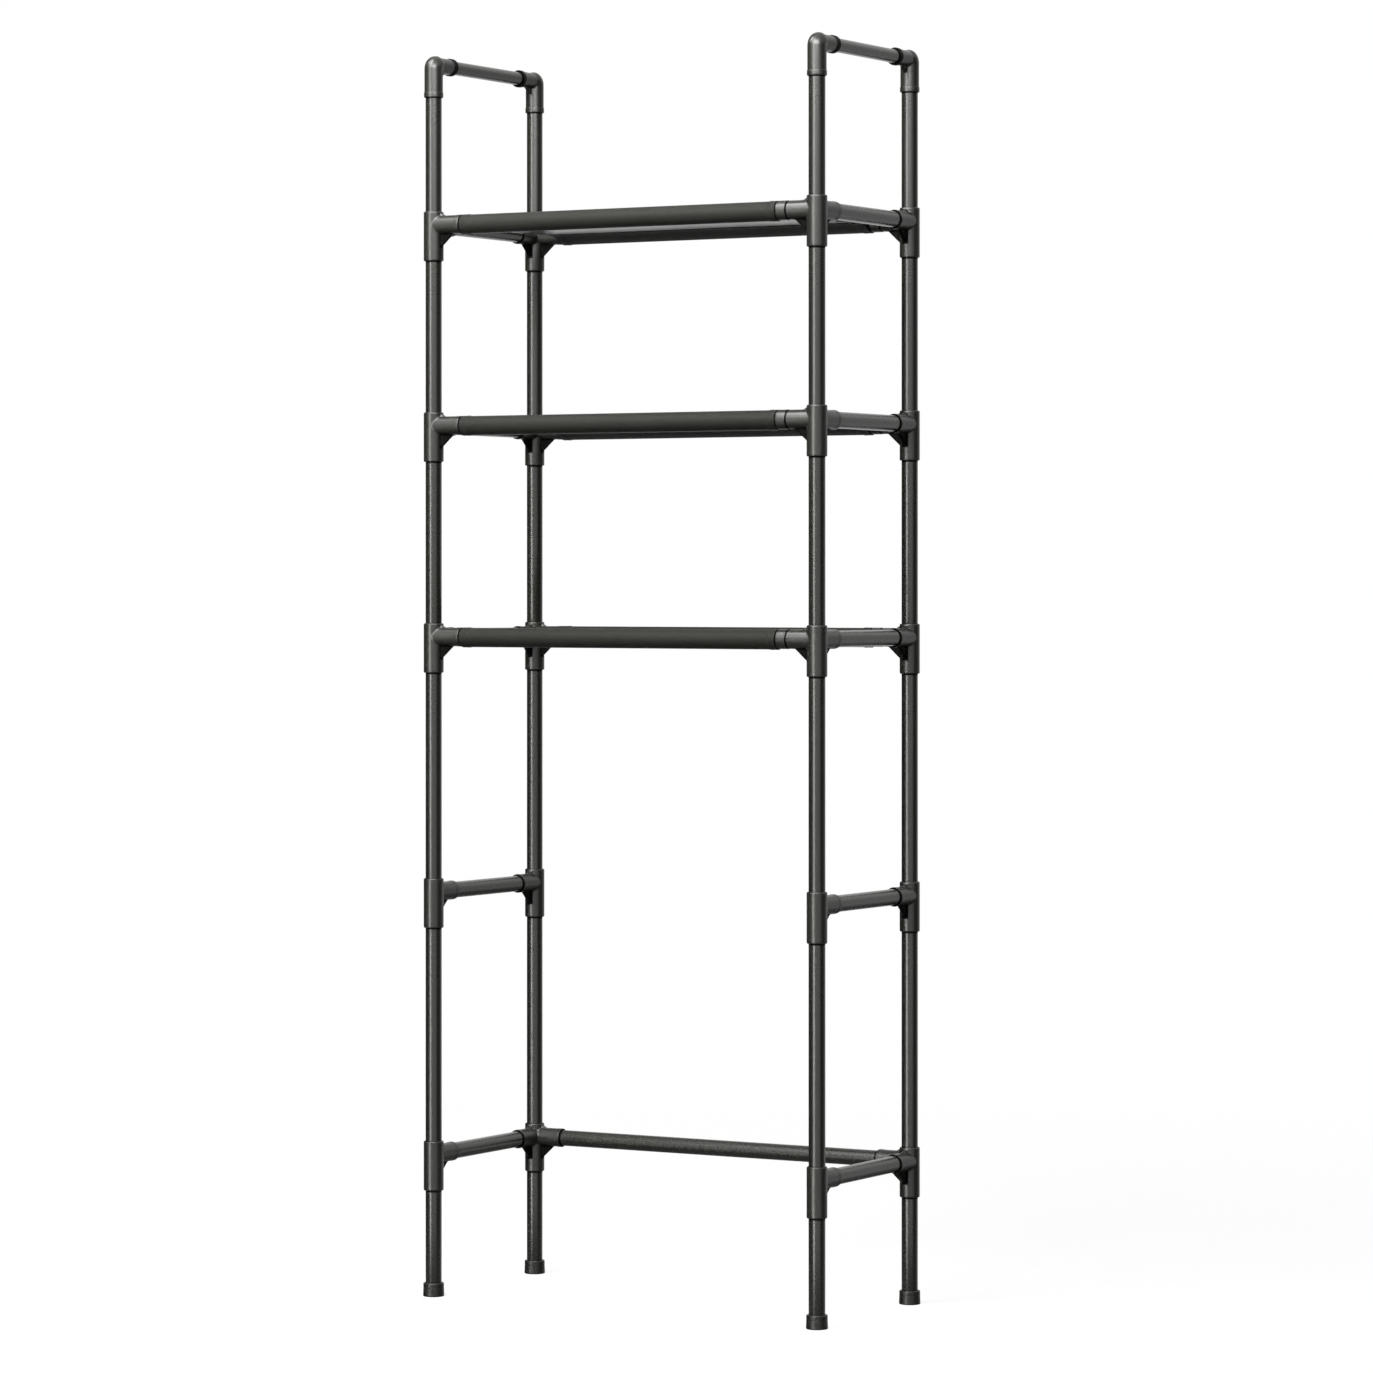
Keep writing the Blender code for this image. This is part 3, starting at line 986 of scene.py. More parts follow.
    def rim_distance(self, point: Vector, arms: dict[Axis, float]) -> float:
        """Measure how far a point is from the nearest rim or gusset edge.

        Args:
            point: a point on the connector.
            arms: the axes of its sockets, and how far each reaches.

        Returns:
            The distance in metres.
        """
        gaps = [1.0]
        if point.xy.length > self.bore_radius + self.bore_skin:
            gaps += [abs(point.z - self.sleeve_above), abs(point.z + self.sleeve_below)]
        for arm, reach in arms.items():
            out, across, radius = self.about(point, arm)
            if out > self.sleeve_radius and radius > self.bore_radius + self.bore_skin:
                gaps.append(abs(out - reach))
            if abs(across) < self.web_thickness and point.z < -self.socket_radius:
                edge = abs(self.web_edge(out, point.z))
                gaps.append(edge + abs(abs(across) - self.web_thickness / 2))
        return min(gaps)

    def joint_distance(self, point: Vector, arms: dict[Axis, float]) -> float:
        """Measure how far a point is from the nearest mouth round a tube, groove behind a collar or gusset.

        Args:
            point: a point on the connector.
            arms: the axes of its sockets, and how far each reaches.

        Returns:
            The distance in metres, shortened near a gusset, so that the painted shade reaches further into
            the hollows beside it.
        """
        places = [(point.z, point.xy.length, (self.sleeve_above, -self.sleeve_below))]
        gaps = [1.0]
        for arm, reach in arms.items():
            out, across, radius = self.about(point, arm)
            places.append((out, radius, (reach,)))
            off_groove = abs(out - self.groove_place) - self.slack
            if reach > self.socket_reach and off_groove < self.groove_width / 2:
                gaps.append(0.0)
            beside = max(0.0, abs(across) - self.web_thickness / 2)
            beyond = max(0.0, self.web_edge(out, point.z))
            gaps.append(math.hypot(beside, beyond) * self.joint_reach / self.hollow_reach)
        gaps += [self.mouth_distance(abs(out - mouth), radius - self.bore_radius)
                 for out, radius, ends in places for mouth in ends]
        return min(gaps)

    def mouth_distance(self, inward: float, outward: float) -> float:
        """How far a place is from a mouth's lead-in, by its distances from the mouth and the bore."""
        return max(0.0, inward - self.mouth_depth) + max(0.0, outward - self.mouth_flare - self.slack)

    def web_edge(self, out: float, height: float) -> float:
        """Measure how far outside a gusset's triangle a place is.

        Args:
            out: its distance along the socket.
            height: its height over the socket's axis.

        Returns:
            The distance in metres.
        """
        run = (out - self.sleeve_radius) / self.web_run
        fall = (-height - self.socket_radius) / self.web_drop
        beside, below = self.hollow_margin
        inside = max(self.sleeve_radius - beside - out, height + self.socket_radius - below)
        return max(inside, (run + fall - 1) * self.web_drop * self.hollow_slope)

    def build(self, finishes: Finishes) -> None:
        """Model the corners and the tee once each and copy them to their posts.

        Args:
            finishes: the rack's materials.
        """
        corner_source = self.model({Axis.X: self.socket_reach, Axis.Y: self.socket_reach})
        front_right = self.model({Axis.X: self.socket_reach, Axis.Y: self.long_reach})
        rear_right = self.model({Axis.X: self.long_reach, Axis.Y: self.socket_reach})
        tee_source = self.model({Axis.Y: self.socket_reach})
        shelf_sources = {Corner.FRONT_RIGHT: front_right, Corner.REAR_RIGHT: rear_right}
        for corner in Corner:
            shelf_source = shelf_sources.get(corner, corner_source)
            places = [(shelf.value, f"{shelf.value}_corner", shelf_source) for shelf in Shelf]
            places.append(("leg_rail", "leg_rail_tee", tee_source))
            if corner.is_rear:
                places.append(("base_rail", "base_rail_corner", corner_source))
            else:
                places.append(("base_rail", "base_rail_tee", tee_source))
            for level, stem, source in places:
                node = f"{stem}_{corner.label}"
                turn = corner.sideways if source is tee_source else corner.value
                piece = Bench.copy_of(source, f"{node}_moulded", Layout.at(corner, level, turn))
                dress(piece, finishes.moulding, "connector_plastic", node, recess=finishes.recess)
        Bench.discard(corner_source, front_right, rear_right, tee_source)


@dataclass
class TopElbows(Connectors):
    """The elbows over the posts: one leg down, a thinner one to the top bar, with a round knuckle between."""

    leg_radius: float = 0.0109
    bar_leg_radius: float = 0.0094
    bar_bore_radius: float = 0.0083
    leg_reach: float = 0.0385
    bend: float = 0.0045
    taper: float = 0.004
    lip_step: float = 0.0005
    bar_lip_step: float = 0.0010
    lip_length: float = 0.006
    lip_round: float = 0.0005
    lip_skin: float = 0.0002
    leg_flare: float = 0.7
    bar_flare: float = 0.9
    # How much of each elbow's lip round the top bar is darkened with painted shade, front and rear.
    front_band: float = 0.0064
    rear_band: float = 0.0031
    bend_steps: int = 24
    web_run: float = 0.009
    web_drop: float = 0.007

    def knuckle(self) -> Piece:
        """Spin the outer part of a leg's section round the inside of the bend.

        Returns:
            The knuckle.
        """
        form = Bench.start(
            bpy.ops.mesh.primitive_circle_add, vertices=64, radius=self.leg_radius, fill_type="NGON",
            location=(0, 0, -self.bend))
        Bench.plane_cut(form, (0, self.bend, 0), (0, 1, 0), clear_outer=True, use_fill=False)
        Bench.pick(form, "FACE", lambda face: True)
        bpy.ops.mesh.spin(
            steps=self.bend_steps, angle=math.pi / 2, center=(0, self.bend, -self.bend), axis=(1, 0, 0))
        Bench.leave(form)
        return form

    def elbow(self, dark_band: float) -> Piece:
        """Model one elbow about the crossing of its axes, with its legs along -Z and +Y.

        Args:
            dark_band: how much of the lip round the top bar is darkened with painted shade.

        Returns:
            The elbow.
        """
        core = self.knuckle()
        lip_start = self.leg_reach - self.lip_length
        neck = self.bend + self.taper
        radii = (self.leg_radius, self.bar_leg_radius)
        Bench.join(
            core, Bench.rod(self.leg_radius, -lip_start - self.overlap, -self.bend, Axis.Z),
            Bench.rod(self.leg_radius, self.bend, neck, Axis.Y, end_radius=self.bar_leg_radius),
            Bench.rod(self.bar_leg_radius, self.bend, lip_start + self.overlap, Axis.Y),
            self.web(Axis.Y, self.web_run, -self.web_drop, self.web_thickness, radii))
        self.soften(core)
        down_lip = self.leg_radius + self.lip_step
        bar_lip = self.bar_leg_radius + self.bar_lip_step
        Bench.join(
            core, Bench.rod(down_lip, -self.leg_reach, -lip_start, Axis.Z, self.lip_round, rings=4),
            Bench.rod(bar_lip, lip_start, self.leg_reach, Axis.Y, self.lip_round, rings=6))
        down = ((-self.leg_reach, -1.0, self.leg_flare),)
        side = ((self.leg_reach, 1.0, self.bar_flare),)
        Bench.cut(
            core, self.bore(self.bore_radius, -PAST_END, -self.socket_stop, Axis.Z, down),
            self.bore(self.bar_bore_radius, self.socket_stop, PAST_END, Axis.Y, side))
        Bench.smooth(core, MOULDING_CREASE)
        # Rims lighter for wear and a painted highlight; painted shade at the mouths and on the lip round the
        # top bar.
        Bench.mark(core, Mark.RIM, lambda point: self.lip_distance(point, dark_band)[0], self.rim_reach)
        Bench.mark(core, Mark.JOINT, lambda point: self.lip_distance(point, dark_band)[1], self.joint_reach)
        return core

    def lip_distance(self, point: Vector, dark_band: float) -> tuple:
        """Measure how far a point is from the edges of the legs' lips and from the mouths in them.

        Args:
            point: a point on the elbow.
            dark_band: how much of the lip round the top bar is darkened with painted shade.

        Returns:
            The distance to the nearest edge and to the nearest mouth, in metres.
        """
        edges = [1.0]
        mouths = [max(0.0, self.leg_reach - dark_band - point.y)]
        legs = ((-point.z, point.xy.length, self.bore_radius, self.leg_radius),
                (point.y, math.hypot(point.x, point.z), self.bar_bore_radius, self.bar_leg_radius))
        for out, radius, bore, leg in legs:
            mouths.append(self.mouth_distance(abs(out - self.leg_reach), radius - bore))
            if radius > bore + self.bore_skin and out > self.leg_radius:
                if leg == self.leg_radius:
                    edges.append(abs(out - self.leg_reach))
                if radius > leg + self.lip_skin:
                    edges.append(abs(out - self.leg_reach + self.lip_length))
        return min(edges), min(mouths)

    def build(self, finishes: Finishes) -> None:
        """Model the front and the rear elbow and copy them to the tops of their posts.

        Args:
            finishes: the rack's materials.
        """
        sources = {False: self.elbow(self.front_band), True: self.elbow(self.rear_band)}
        for corner in Corner:
            node = f"top_elbow_{corner.label}"
            place = Layout.at(corner, "top", corner.sideways)
            piece = Bench.copy_of(sources[corner.is_rear], f"{node}_moulded", place)
            dress(piece, finishes.moulding, "connector_plastic", node, recess=finishes.recess)
        Bench.discard(*sources.values())


@dataclass
class FootCaps:
    """The cups under the posts."""

    radius: float = 0.0122
    flare: float = 0.0004
    height: float = 0.0162
    floor: float = 0.004
    bore_radius: float = 0.0098
    top_round: float = 0.0014
    bottom_round: float = 0.0012
    ring_height: float = 0.0105
    ring_depth: float = 0.00035
    ring_half: float = 0.0004
    lower_loops: tuple = (0.0022, 0.0048, 0.0075)
    upper_loop: float = 0.0128
    flare_curve: float = 1.5
    rim_reach: float = 0.0016
    sides: int = 72

    def model(self) -> Piece:
        """Model one cap on the floor at the origin.

        Returns:
            The cap.
        """
        cap = Bench.rod(self.radius, 0, self.height, Axis.Z, sides=self.sides)
        lines = [*self.lower_loops, self.ring_height - self.ring_half, self.ring_height,
                 self.ring_height + self.ring_half, self.upper_loop]
        for line in lines:
            Bench.plane_cut(cap, (0, 0, line), (0, 0, 1))
        for line in [0.0, *lines]:
            share = max(0.0, 1 - line / self.ring_height) ** self.flare_curve
            size = 1 + self.flare * share / self.radius
            if line == self.ring_height:
                size = 1 - self.ring_depth / self.radius
            Bench.pick(cap, "VERT", lambda vert: abs(vert.co.z - line) < 1e-5)
            bpy.ops.transform.resize(value=(size, size, 1), center_override=(0, 0, line))
        for level, rounding in ((self.height, self.top_round), (0.0, self.bottom_round)):
            Bench.pick(cap, "EDGE", lambda edge: all(abs(vert.co.z - level) < TINY for vert in edge.verts))
            bpy.ops.mesh.bevel(offset=rounding, segments=4)
        Bench.leave(cap)
        Bench.cut(cap, Bench.rod(self.bore_radius, self.floor, PAST_END, Axis.Z))
        Bench.smooth(cap, MOULDING_CREASE)
        # Rims lighter for wear and a painted highlight.
        Bench.mark(cap, Mark.RIM, lambda point: min(abs(point.z), abs(point.z - self.height)), self.rim_reach)
        return cap

    def build(self, finishes: Finishes) -> None:
        """Model the cap once and copy it under every post.

        Args:
            finishes: the rack's materials.
        """
        source = self.model()
        for corner in Corner:
            node = f"foot_cap_{corner.label}"
            piece = Bench.copy_of(source, f"{node}_moulded", Matrix.Translation(Layout.post(corner)))
            dress(piece, finishes.foot, "foot_plastic", node)
        Bench.discard(source)


@dataclass
class FabricShelf:
    """One sewn shelf: a sheet with a sleeve round each bar, a hem at each end and rows of stitches."""

    shelf: Shelf
    thickness: float = 0.0010
    hem_thickness: float = 0.0018
    hem_width: float = 0.0098
    sleeve_radius: float = 0.01085
    sleeve_drop: float = 0.0005
    seam_reach: float = 0.0268
    allowance: float = 0.0095
    sag: float = 0.0026
    scallop: float = 0.0014
    pucker: float = 0.00022
    pucker_reach: float = 0.0075
    ripples: tuple = ((1.0, 690, 1.0, 0, 0.0), (0.7, 1130, 2.3, 9, 0.0), (0.8, 410, 0.7, 0, 1.3))
    slack: float = 0.00016
    sink: float = 0.00045
    ply_gap: float = 0.00006
    sheet_steps: int = 22
    sheet_crowding: float = 1.25
    bar_steps: int = 30
    run_steps: int = 10
    allowance_steps: int = 5
    hem_columns: tuple = (0.0, 0.0012, 0.003, 0.0052, 0.0074)
    hem_edge_columns: tuple = (-0.0008, -0.0002, 0.0004, 0.0012, 0.003)
    column_gap: float = 0.0035
    column_count: int = 100
    stitch_pitch: float = 0.0034
    stitch_share: float = 0.86
    stitch_radius: float = 0.00024
    seam_rows: tuple = (0.0018, 0.0075)
    seam_margin: float = 0.002
    hem_row: float = 0.0022
    hem_margin: float = 0.015

    def __post_init__(self) -> None:
        """Read the shelf's bars and the fabric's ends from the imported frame."""
        low, high = (Vector(corner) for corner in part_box(f"{self.shelf.value}_fabric"))
        self.left, self.right = low.x, high.x
        self.width = self.right - self.left
        self.sheet_z = self.thickness / 2 - self.sink
        self.front = Layout.middle(f"{self.shelf.value}_front_bar").y
        self.level = Layout.height(self.shelf.value) - self.sleeve_drop
        self.seam_y = abs(self.front) - self.seam_reach

    def half_path(self) -> list:
        """Trace the sheet from its middle to the end of the sleeve's inner edge, towards the front.

        Returns:
            Points as distance from the middle and height over the sleeve's centre.
        """
        sewn = (self.seam_y, self.sheet_z)
        under = (self.seam_y, self.sheet_z - self.thickness - self.ply_gap)
        axis_y = abs(self.front)
        shares = [step / self.sheet_steps for step in range(self.sheet_steps + 1)]
        points = [(self.seam_y * (1 - (1 - share) ** self.sheet_crowding), self.sheet_z) for share in shares]
        lean = math.acos(self.sleeve_radius / self.seam_reach)

        def round_bar(angle: float) -> tuple:
            """The point round the bar at an angle from the inward side."""
            return axis_y - self.sleeve_radius * math.cos(angle), self.sleeve_radius * math.sin(angle)

        def run(first: tuple, second: tuple) -> list:
            """The points from one to another, after the first, easing in and out of their heights."""
            shares = [step / self.run_steps for step in range(1, self.run_steps + 1)]
            rises = [share * share * (3 - 2 * share) * 0.35 + share * 0.65 for share in shares]
            return [(first[0] + (second[0] - first[0]) * share, first[1] + (second[1] - first[1]) * rise)
                    for share, rise in zip(shares, rises)]

        turn = 2 * math.pi - 2 * lean
        points += run(sewn, round_bar(lean))[:-1]
        points += [round_bar(lean + turn * step / self.bar_steps) for step in range(self.bar_steps + 1)]
        points += run(round_bar(-lean), under)
        points += [(self.seam_y - self.allowance * step / self.allowance_steps, under[1])
                   for step in range(1, self.allowance_steps + 1)]
        return points

    def path(self) -> list:
        """Trace the whole sheet from the front allowance over both bars to the rear allowance.

        Returns:
            Points as (y, z, length so far), with z over the sleeves' centres.
        """
        half = self.half_path()
        sections = [(-out, z) for out, z in reversed(half)] + [(out, z) for out, z in half[1:]]
        walked = 0.0
        traced = []
        for place, (y, z) in enumerate(sections):
            if place:
                before = sections[place - 1]
                walked += math.hypot(y - before[0], z - before[1])
            traced.append((y, z, walked))
        return traced

    def columns(self) -> list:
        """List where the sheet's columns stand between its two ends, closer together at the hems.

        Returns:
            Distances from the left end.
        """
        hem = [*self.hem_columns, *(self.hem_width + step for step in self.hem_edge_columns)]
        inner = hem[-1] + self.column_gap
        count = self.column_count
        middle = [inner + (self.width - 2 * inner) * step / count for step in range(count + 1)]
        return hem + middle + [self.width - place for place in reversed(hem)]

    def relax(self, x: float, y: float, z: float) -> Vector:
        """Let a point of the stretched sheet hang and pucker as sewn cloth does.

        Args:
            x: its place along the bars, from the left end.
            y: its place from front to rear.
            z: its height over the sleeves' centres.

        Returns:
            The point in the rack.
        """
        inside = max(0.0, 1 - (abs(y) / self.seam_y) ** 2)
        along = 2 * x / self.width - 1
        phase = {Shelf.BOTTOM: 0.0, Shelf.MIDDLE: 1.9, Shelf.TOP: 4.1}[self.shelf]
        hang = self.sag * inside * (1 + 0.12 * math.sin(5.1 * along + phase))
        from_seam = abs(abs(y) - self.seam_y)
        ripple = sum(
            size * math.sin(x * rate + turn * phase + y * lean + (shift if y > 0 else 0.0))
            for size, rate, turn, lean, shift in self.ripples)
        gathered = self.pucker * ripple * math.exp(-from_seam / self.pucker_reach)
        slack = self.slack * math.sin(x * 63 + phase) * math.sin(y * 41 + phase) * inside
        side = math.copysign(abs(along) ** 9, along)
        pull = -self.scallop * side * inside ** 0.8
        return Vector((self.left + x + pull, y, self.level + z - hang + gathered + slack))

    def model(self) -> Piece:
        """Lay the sheet out flat, wrap it along its path, and give it its thickness.

        Returns:
            The sewn sheet, with a UV map in metres.
        """
        path = self.path()
        columns = self.columns()
        sheet = Bench.start(
            bpy.ops.mesh.primitive_grid_add, x_subdivisions=len(columns) - 1, y_subdivisions=len(path) - 1,
            size=1, calc_uvs=True)
        sheet.name = f"{self.shelf.value}_fabric_sewn"
        mesh = sheet.data
        mesh.name = sheet.name
        hems = sheet.vertex_groups.new(name="hem")
        thin = self.thickness / self.hem_thickness
        spots = {}
        for vert in mesh.vertices:
            column = round((vert.co.x + 0.5) * (len(columns) - 1))
            row = round((vert.co.y + 0.5) * (len(path) - 1))
            x = columns[column]
            y, z, walked = path[row]
            spots[vert.index] = (x, walked)
            vert.co = self.relax(x, y, z)
            folded = min(x, self.width - x) < self.hem_width
            hems.add([vert.index], 1.0 if folded else thin, "REPLACE")
        for loop, chart in zip(mesh.loops, mesh.uv_layers.active.data):
            chart.uv = spots[loop.vertex_index]
        mesh.uv_layers.active.name = "UVMap"
        Bench.modify(sheet, "SOLIDIFY", thickness=self.hem_thickness, offset=0.0, use_even_offset=True,
                     use_rim=True, vertex_group="hem")
        sheet.vertex_groups.clear()
        Bench.smooth(sheet, CLOTH_CREASE)
        return sheet

    def stitch(self) -> tuple:
        """Model one stitch lying along X: a short thread that dives into the cloth at both ends.

        Returns:
            Its points and its faces.
        """
        length = self.stitch_pitch * self.stitch_share
        thread = Bench.start(
            bpy.ops.mesh.primitive_cylinder_add, vertices=6, radius=self.stitch_radius, depth=length,
            rotation=(0, math.pi / 2, 0))
        Bench.pick(thread, "EDGE", lambda edge: abs(edge.verts[0].co.x - edge.verts[1].co.x) > TINY)
        bpy.ops.mesh.subdivide(number_cuts=3)
        for vert in bmesh.from_edit_mesh(thread.data).verts:
            share = min(1.0, 2 * abs(vert.co.x) / length)
            vert.co.z = vert.co.z * (1 - 0.3 * share) - self.stitch_radius * 1.9 * share ** 2.5
        Bench.leave(thread)
        points = [vert.co.copy() for vert in thread.data.vertices]
        faces = [tuple(face.vertices) for face in thread.data.polygons]
        Bench.discard(thread)
        return points, faces

    def stitch_places(self) -> list:
        """List where every stitch lies, from the seams along the bars to the hems round the ends.

        Returns:
            For each stitch its middle, its direction and the way out of the cloth.
        """
        places = []
        over = self.sheet_z + self.thickness / 2
        under = self.sheet_z - 1.5 * self.thickness - self.ply_gap
        up, down, along = Vector((0, 0, 1)), Vector((0, 0, -1)), Vector((1, 0, 0))
        seam = self.width - 2 * self.seam_margin
        count = int(seam / self.stitch_pitch)
        for row in self.seam_rows:
            for side in (-1, 1):
                y = side * (self.seam_y - row)
                for step in range(count):
                    x = self.seam_margin + (step + 0.5) * seam / count
                    places.append((self.relax(x, y, over), along, up))
                    places.append((self.relax(x, y, under), along, down))
        path = self.path()
        hem = path[-1][2] - 2 * self.hem_margin
        row_x = self.hem_width - self.hem_row
        for end_x in (row_x, self.width - row_x):
            steps = int(hem / self.stitch_pitch)
            for step in range(steps):
                walked = self.hem_margin + (step + 0.5) * hem / steps
                index = next(place for place, point in enumerate(path) if point[2] >= walked)
                (y0, z0, w0), (y1, z1, w1) = path[index - 1], path[index]
                share = (walked - w0) / (w1 - w0)
                run = Vector((0, y1 - y0, z1 - z0)).normalized()
                out = Vector((0, -run.z, run.y))
                y = y0 + (y1 - y0) * share
                z = z0 + (z1 - z0) * share
                middle = self.relax(end_x, y, z)
                places.append((middle + out * self.hem_thickness / 2, run, out))
                if abs(y) < self.seam_y - self.allowance and z > under / 2:
                    places.append((middle - out * self.hem_thickness / 2, run, -out))
        return places

    def stitching(self) -> Piece:
        """Copy the stitch along every seam and hem.

        Returns:
            All the shelf's stitches as one piece.
        """
        points, faces = self.stitch()
        verts: list = []
        polygons: list = []
        for middle, run, out in self.stitch_places():
            turn = Matrix((run, out.cross(run), out)).transposed()
            start = len(verts)
            verts += [middle + out * self.stitch_radius * 0.55 + turn @ point for point in points]
            polygons += [tuple(start + corner for corner in face) for face in faces]
        mesh = bpy.data.meshes.new(f"{self.shelf.value}_stitching")
        mesh.from_pydata(verts, [], polygons)
        chart = mesh.uv_layers.new(name="UVMap")
        for loop, spot in zip(mesh.loops, chart.data):
            point = mesh.vertices[loop.vertex_index].co
            spot.uv = (point.x + point.y, point.y + point.z)
        mesh.polygons.foreach_set("use_smooth", [True] * len(mesh.polygons))
        piece = bpy.data.objects.new(mesh.name, mesh)
        bpy.context.scene.collection.objects.link(piece)
        return piece

    def build(self, finishes: Finishes) -> None:
        """Sew the shelf and its stitching, and dress them.

        Args:
            finishes: the rack's materials.
        """
        sheet = self.model()
        dress(sheet, finishes.cloth, "shelf_fabric", f"{self.shelf.value}_fabric")
        stitching = self.stitching()
        dress(stitching, finishes.thread, "shelf_fabric")
        cut_length = self.path()[-1][2]


@dataclass
class Studio:
    """The pale floor, the soft lamps, the surroundings and the camera."""

    yaw: float = math.radians(30.21)
    focal_pixels: float = 5004.0
    horizon_row: float = 580.1
    camera_place: tuple = (2.968, -5.060, 0.8438)
    floor_radius: float = 5.0
    floor_tone: float = 0.2
    floor_glow: float = 0.9
    floor_gloss: float = 0.08
    floor_fade: tuple = (0.9, 2.6)
    floor_grazing: tuple = (0.24, 0.42)
    ambient: float = 0.18
    strip_bearing: float = -44.0
    strip_width: float = 6.0
    strip_edge: float = 4.0
    strip_glow: float = 17.0
    walls: tuple = (
        (-180, 1.0), (-173, 1.0), (-167, 0.02), (-95, 0.02), (-64, 0.22), (-46, 0.9), (-20, 1.35),
        (33, 1.35), (50, 0.07), (98, 0.07), (112, 0.72), (150, 0.74), (170, 1.0), (180, 1.0))
    upper_walls: tuple = (
        (-180, 1.0), (-172, 1.0), (-166, 0.05), (-110, 0.05), (-75, 1.0), (180, 1.0))

    def camera(self) -> None:
        """Set the camera at the photograph's viewing angle."""
        data = bpy.data.cameras.new("rack_camera")
        data.sensor_width = 36.0
        data.lens = self.focal_pixels / PHOTO_SIDE * data.sensor_width
        data.shift_y = (self.horizon_row - PHOTO_SIDE / 2) / PHOTO_SIDE
        data.clip_end = 100.0
        camera = bpy.data.objects.new("rack_camera", data)
        camera.location = self.camera_place
        camera.rotation_euler = (math.pi / 2, 0.0, self.yaw)
        bpy.context.scene.collection.objects.link(camera)
        bpy.context.scene.camera = camera

    def floor(self) -> None:
        """Lay a pale round floor that fades into the white surroundings."""
        ground = Bench.start(
            bpy.ops.mesh.primitive_circle_add, vertices=96, radius=self.floor_radius, fill_type="NGON")
        ground.name = "studio_floor"
        material, graph = Graph.of_material("pale_studio_floor")
        place = graph.node("TexCoord").outputs["Object"]
        distance = graph.node("VectorMath", {0: place}, operation="LENGTH").outputs["Value"]
        fade = graph.span(distance, *self.floor_fade, 1.0, 0.0)
        tone = (self.floor_tone, self.floor_tone, self.floor_tone, 1.0)
        paper = graph.node("BsdfDiffuse", {"Color": tone})
        rays = graph.node("LightPath")
        seen = graph.most(rays.outputs["Is Camera Ray"], rays.outputs["Is Transmission Ray"])
        mirrored = graph.times(rays.outputs["Is Glossy Ray"], self.floor_gloss)
        strength = graph.times(graph.most(seen, mirrored), self.floor_glow)
        glow = graph.node("Emission", {"Color": (1, 1, 1, 1), "Strength": strength})
        lit = graph.node("AddShader", {0: paper.outputs[0], 1: glow.outputs[0]})
        clear = graph.node("BsdfTransparent")
        slope = graph.node("SeparateXYZ", {0: graph.node("NewGeometry").outputs["Incoming"]}).outputs["Z"]
        shallow = graph.span(slope, *self.floor_grazing, 1.0, 0.0)
        far_gloss = graph.times(rays.outputs["Is Glossy Ray"], shallow)
        fade = graph.times(fade, graph.math("SUBTRACT", 1.0, far_gloss))
        shown = graph.node("MixShader", {0: fade, 1: clear.outputs[0], 2: lit.outputs[0]})
        graph.node("OutputMaterial", {"Surface": shown.outputs[0]})
        ground.data.materials.append(material)

    def lamp(self, name: str, place: tuple, target: tuple, size: tuple, power: float) -> Piece:
        """Hang one soft lamp.

        Args:
            name: the lamp's name.
            place: where it hangs.
            target: the point that it faces.
            size: its width and height.
            power: its power in watts.

        Returns:
            The lamp.
        """
        data = bpy.data.lights.new(name, "AREA")
        data.shape = "RECTANGLE"
        data.size, data.size_y = size
        data.energy = power
        lamp = bpy.data.objects.new(name, data)
        lamp.location = place
        facing = Vector(target) - Vector(place)
        lamp.rotation_euler = facing.to_track_quat("-Z", "Y").to_euler()
        bpy.context.scene.collection.objects.link(lamp)
        return lamp

    def lamps(self) -> None:
        """Hang a broad lamp above the front, two small ones near the top, and one for the knuckles' gloss."""
        self.lamp("front_top", (-0.3, -2.3, 2.7), (0.0, 0.0, 0.7), (2.2, 1.8), 88.0)
        self.lamp("near_top_right", (-0.4, -0.55, 2.2), (0.2, -0.1, 1.2), (0.45, 0.45), 9.5)
        self.lamp("near_top_left", (-0.88, -0.55, 2.2), (-0.2, -0.1, 1.2), (0.45, 0.35), 3.0)
        knuckles = self.lamp("knuckle_gloss", (0.62, -1.1, 1.98), (0.0, -0.1, 1.45), (1.1, 0.6), 40.0)
        knuckles.visible_diffuse = False

    @staticmethod
    def sectors(graph: Graph, share: Link, stops: Sequence) -> Link:
        """Tone the surroundings by their bearing from the camera.

        Args:
            graph: the world's graph.
            share: the bearing as a share of the full turn, from straight behind the rack.
            stops: pairs of a bearing in degrees, right of the camera if positive, and a tone.

        Returns:
            The tone.
        """
        ramp = graph.node("ValToRGB", {0: share})
        bands = ramp.color_ramp.elements
        while len(bands) < len(stops):
            bands.new(0.5)
        for band, (angle, tone) in zip(bands, stops):
            band.position = angle / 360 + 0.5
            band.color = (tone, tone, tone, 1.0)
        return ramp.outputs["Color"]

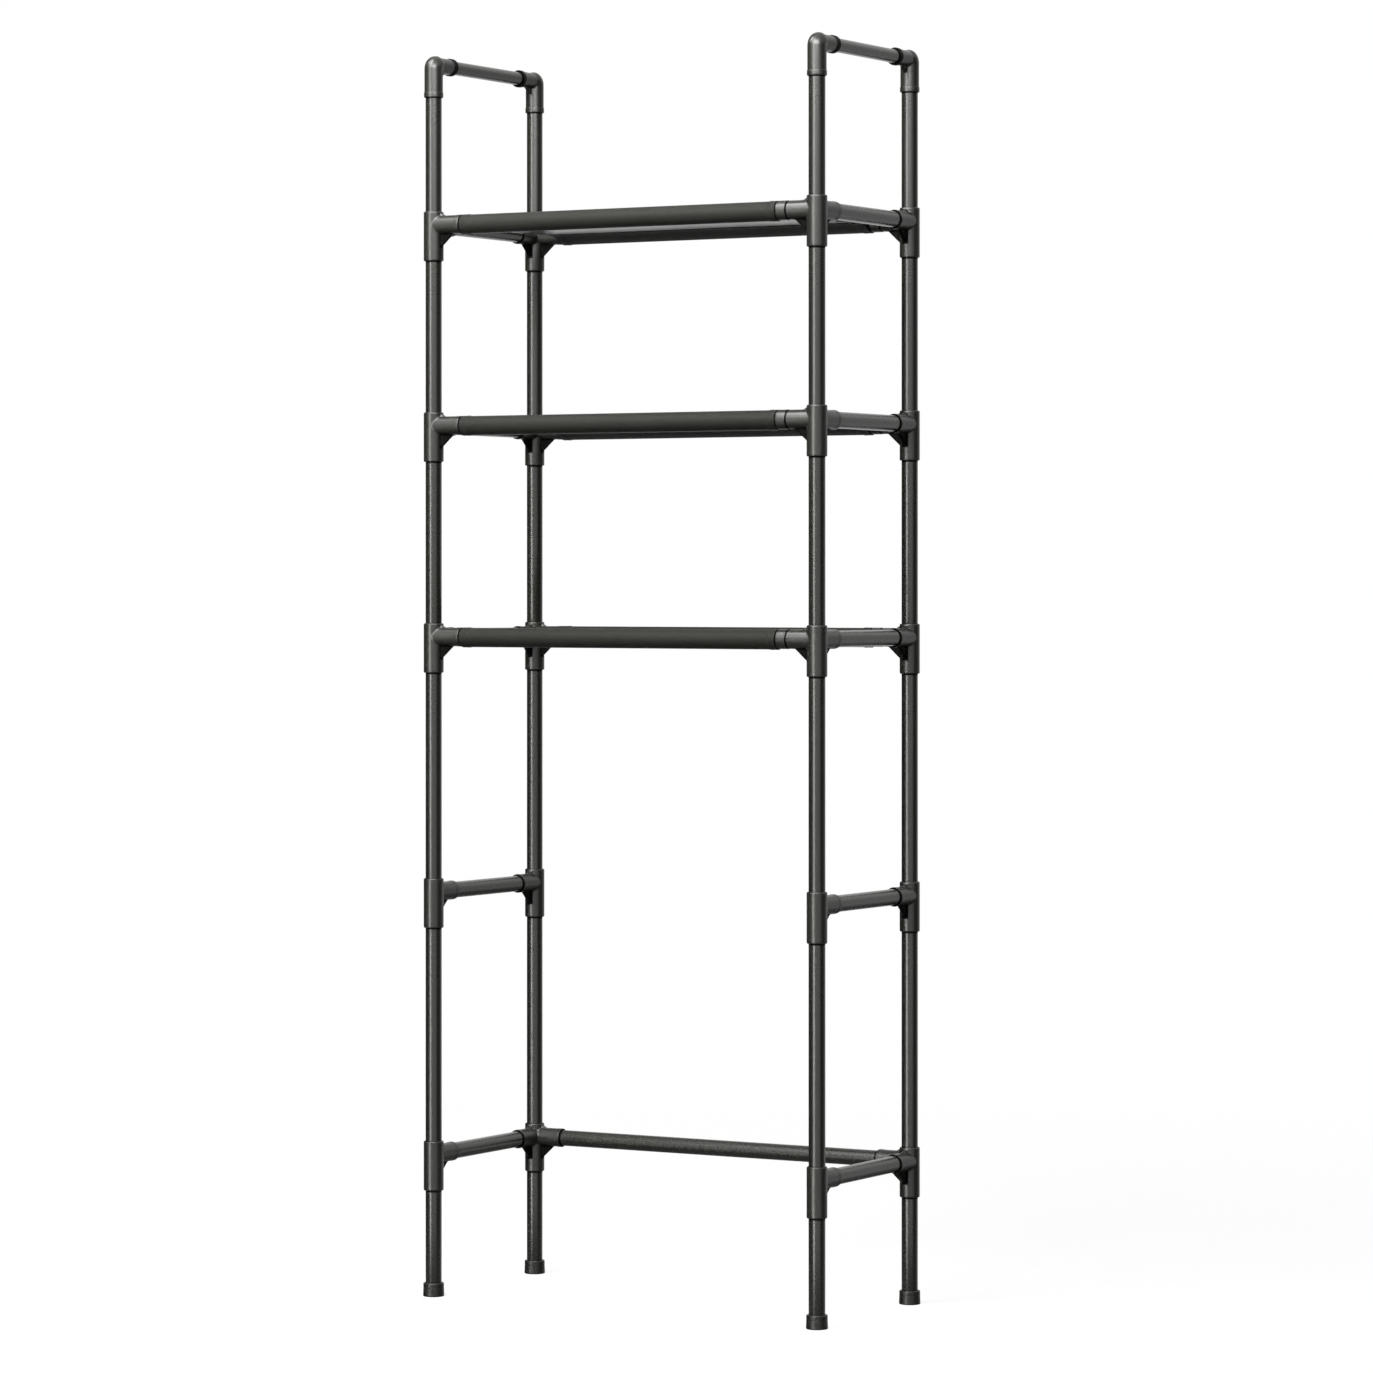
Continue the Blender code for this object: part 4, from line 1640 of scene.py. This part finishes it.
    def surroundings(self) -> None:
        """Make the world: white to the camera, soft all round, and in gloss white behind with dark sides."""
        world = bpy.data.worlds.new("studio")
        bpy.context.scene.world = world
        world.use_nodes = True
        graph = Graph(world.node_tree)
        way = graph.node("TexCoord").outputs["Generated"]
        turned = graph.node("Mapping", {"Vector": way, "Rotation": (0.0, 0.0, -self.yaw)})
        axes = graph.node("SeparateXYZ", {0: turned.outputs[0]})
        back = graph.times(axes.outputs["Y"], -1.0)
        bearing = graph.math("ARCTAN2", axes.outputs["X"], back)
        share = graph.math("ADD", graph.math("DIVIDE", bearing, 2 * math.pi), 0.5)
        walls = self.sectors(graph, share, self.walls)
        upper_walls = self.sectors(graph, share, self.upper_walls)
        raised = graph.span(axes.outputs["Z"], 0.16, 0.36, 0.0, 1.0)
        ceiling = graph.span(axes.outputs["Z"], 0.7, 0.9, 0.0, 1.0)
        high = graph.most(graph.times(raised, upper_walls), ceiling)
        low = graph.span(axes.outputs["Z"], -0.3, -0.14, 0.2, 0.0)
        off_strip = graph.math("ABSOLUTE", graph.math("SUBTRACT", share, self.strip_bearing / 360 + 0.5))
        strip = graph.span(off_strip, self.strip_width / 720, self.strip_width / 720 + self.strip_edge / 360,
                           self.strip_glow, 0.0)
        upright = graph.most(walls, strip)
        mirrored = graph.most(upright, graph.most(high, low))
        rays = graph.node("LightPath")
        direct = graph.most(rays.outputs["Is Camera Ray"], rays.outputs["Is Transmission Ray"])
        glossy = graph.times(rays.outputs["Is Glossy Ray"], mirrored)
        overhead = graph.span(axes.outputs["Z"], -0.1, 0.2, 0.0, self.ambient)
        plain = graph.times(rays.outputs["Is Diffuse Ray"], overhead)
        strength = graph.math("ADD", graph.most(direct, glossy), plain)
        sky = graph.node("Background", {"Color": (1, 1, 1, 1), "Strength": strength})
        graph.node("OutputWorld", {"Surface": sky.outputs[0]})

    def build(self) -> None:
        """Set up the whole studio."""
        self.camera()
        self.floor()
        self.lamps()
        self.surroundings()
        bpy.context.scene.view_settings.view_transform = "Standard"


def main() -> None:
    """Build the rack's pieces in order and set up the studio."""
    logging.basicConfig(level=logging.INFO, format="%(name)s: %(message)s")
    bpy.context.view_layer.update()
    Studio().build()
    finishes = Finishes()
    for assembly in (TubeFrame(), Connectors(), TopElbows(), FootCaps(), *map(FabricShelf, Shelf)):
        assembly.build(finishes)


if __name__ == "__main__":
    main()
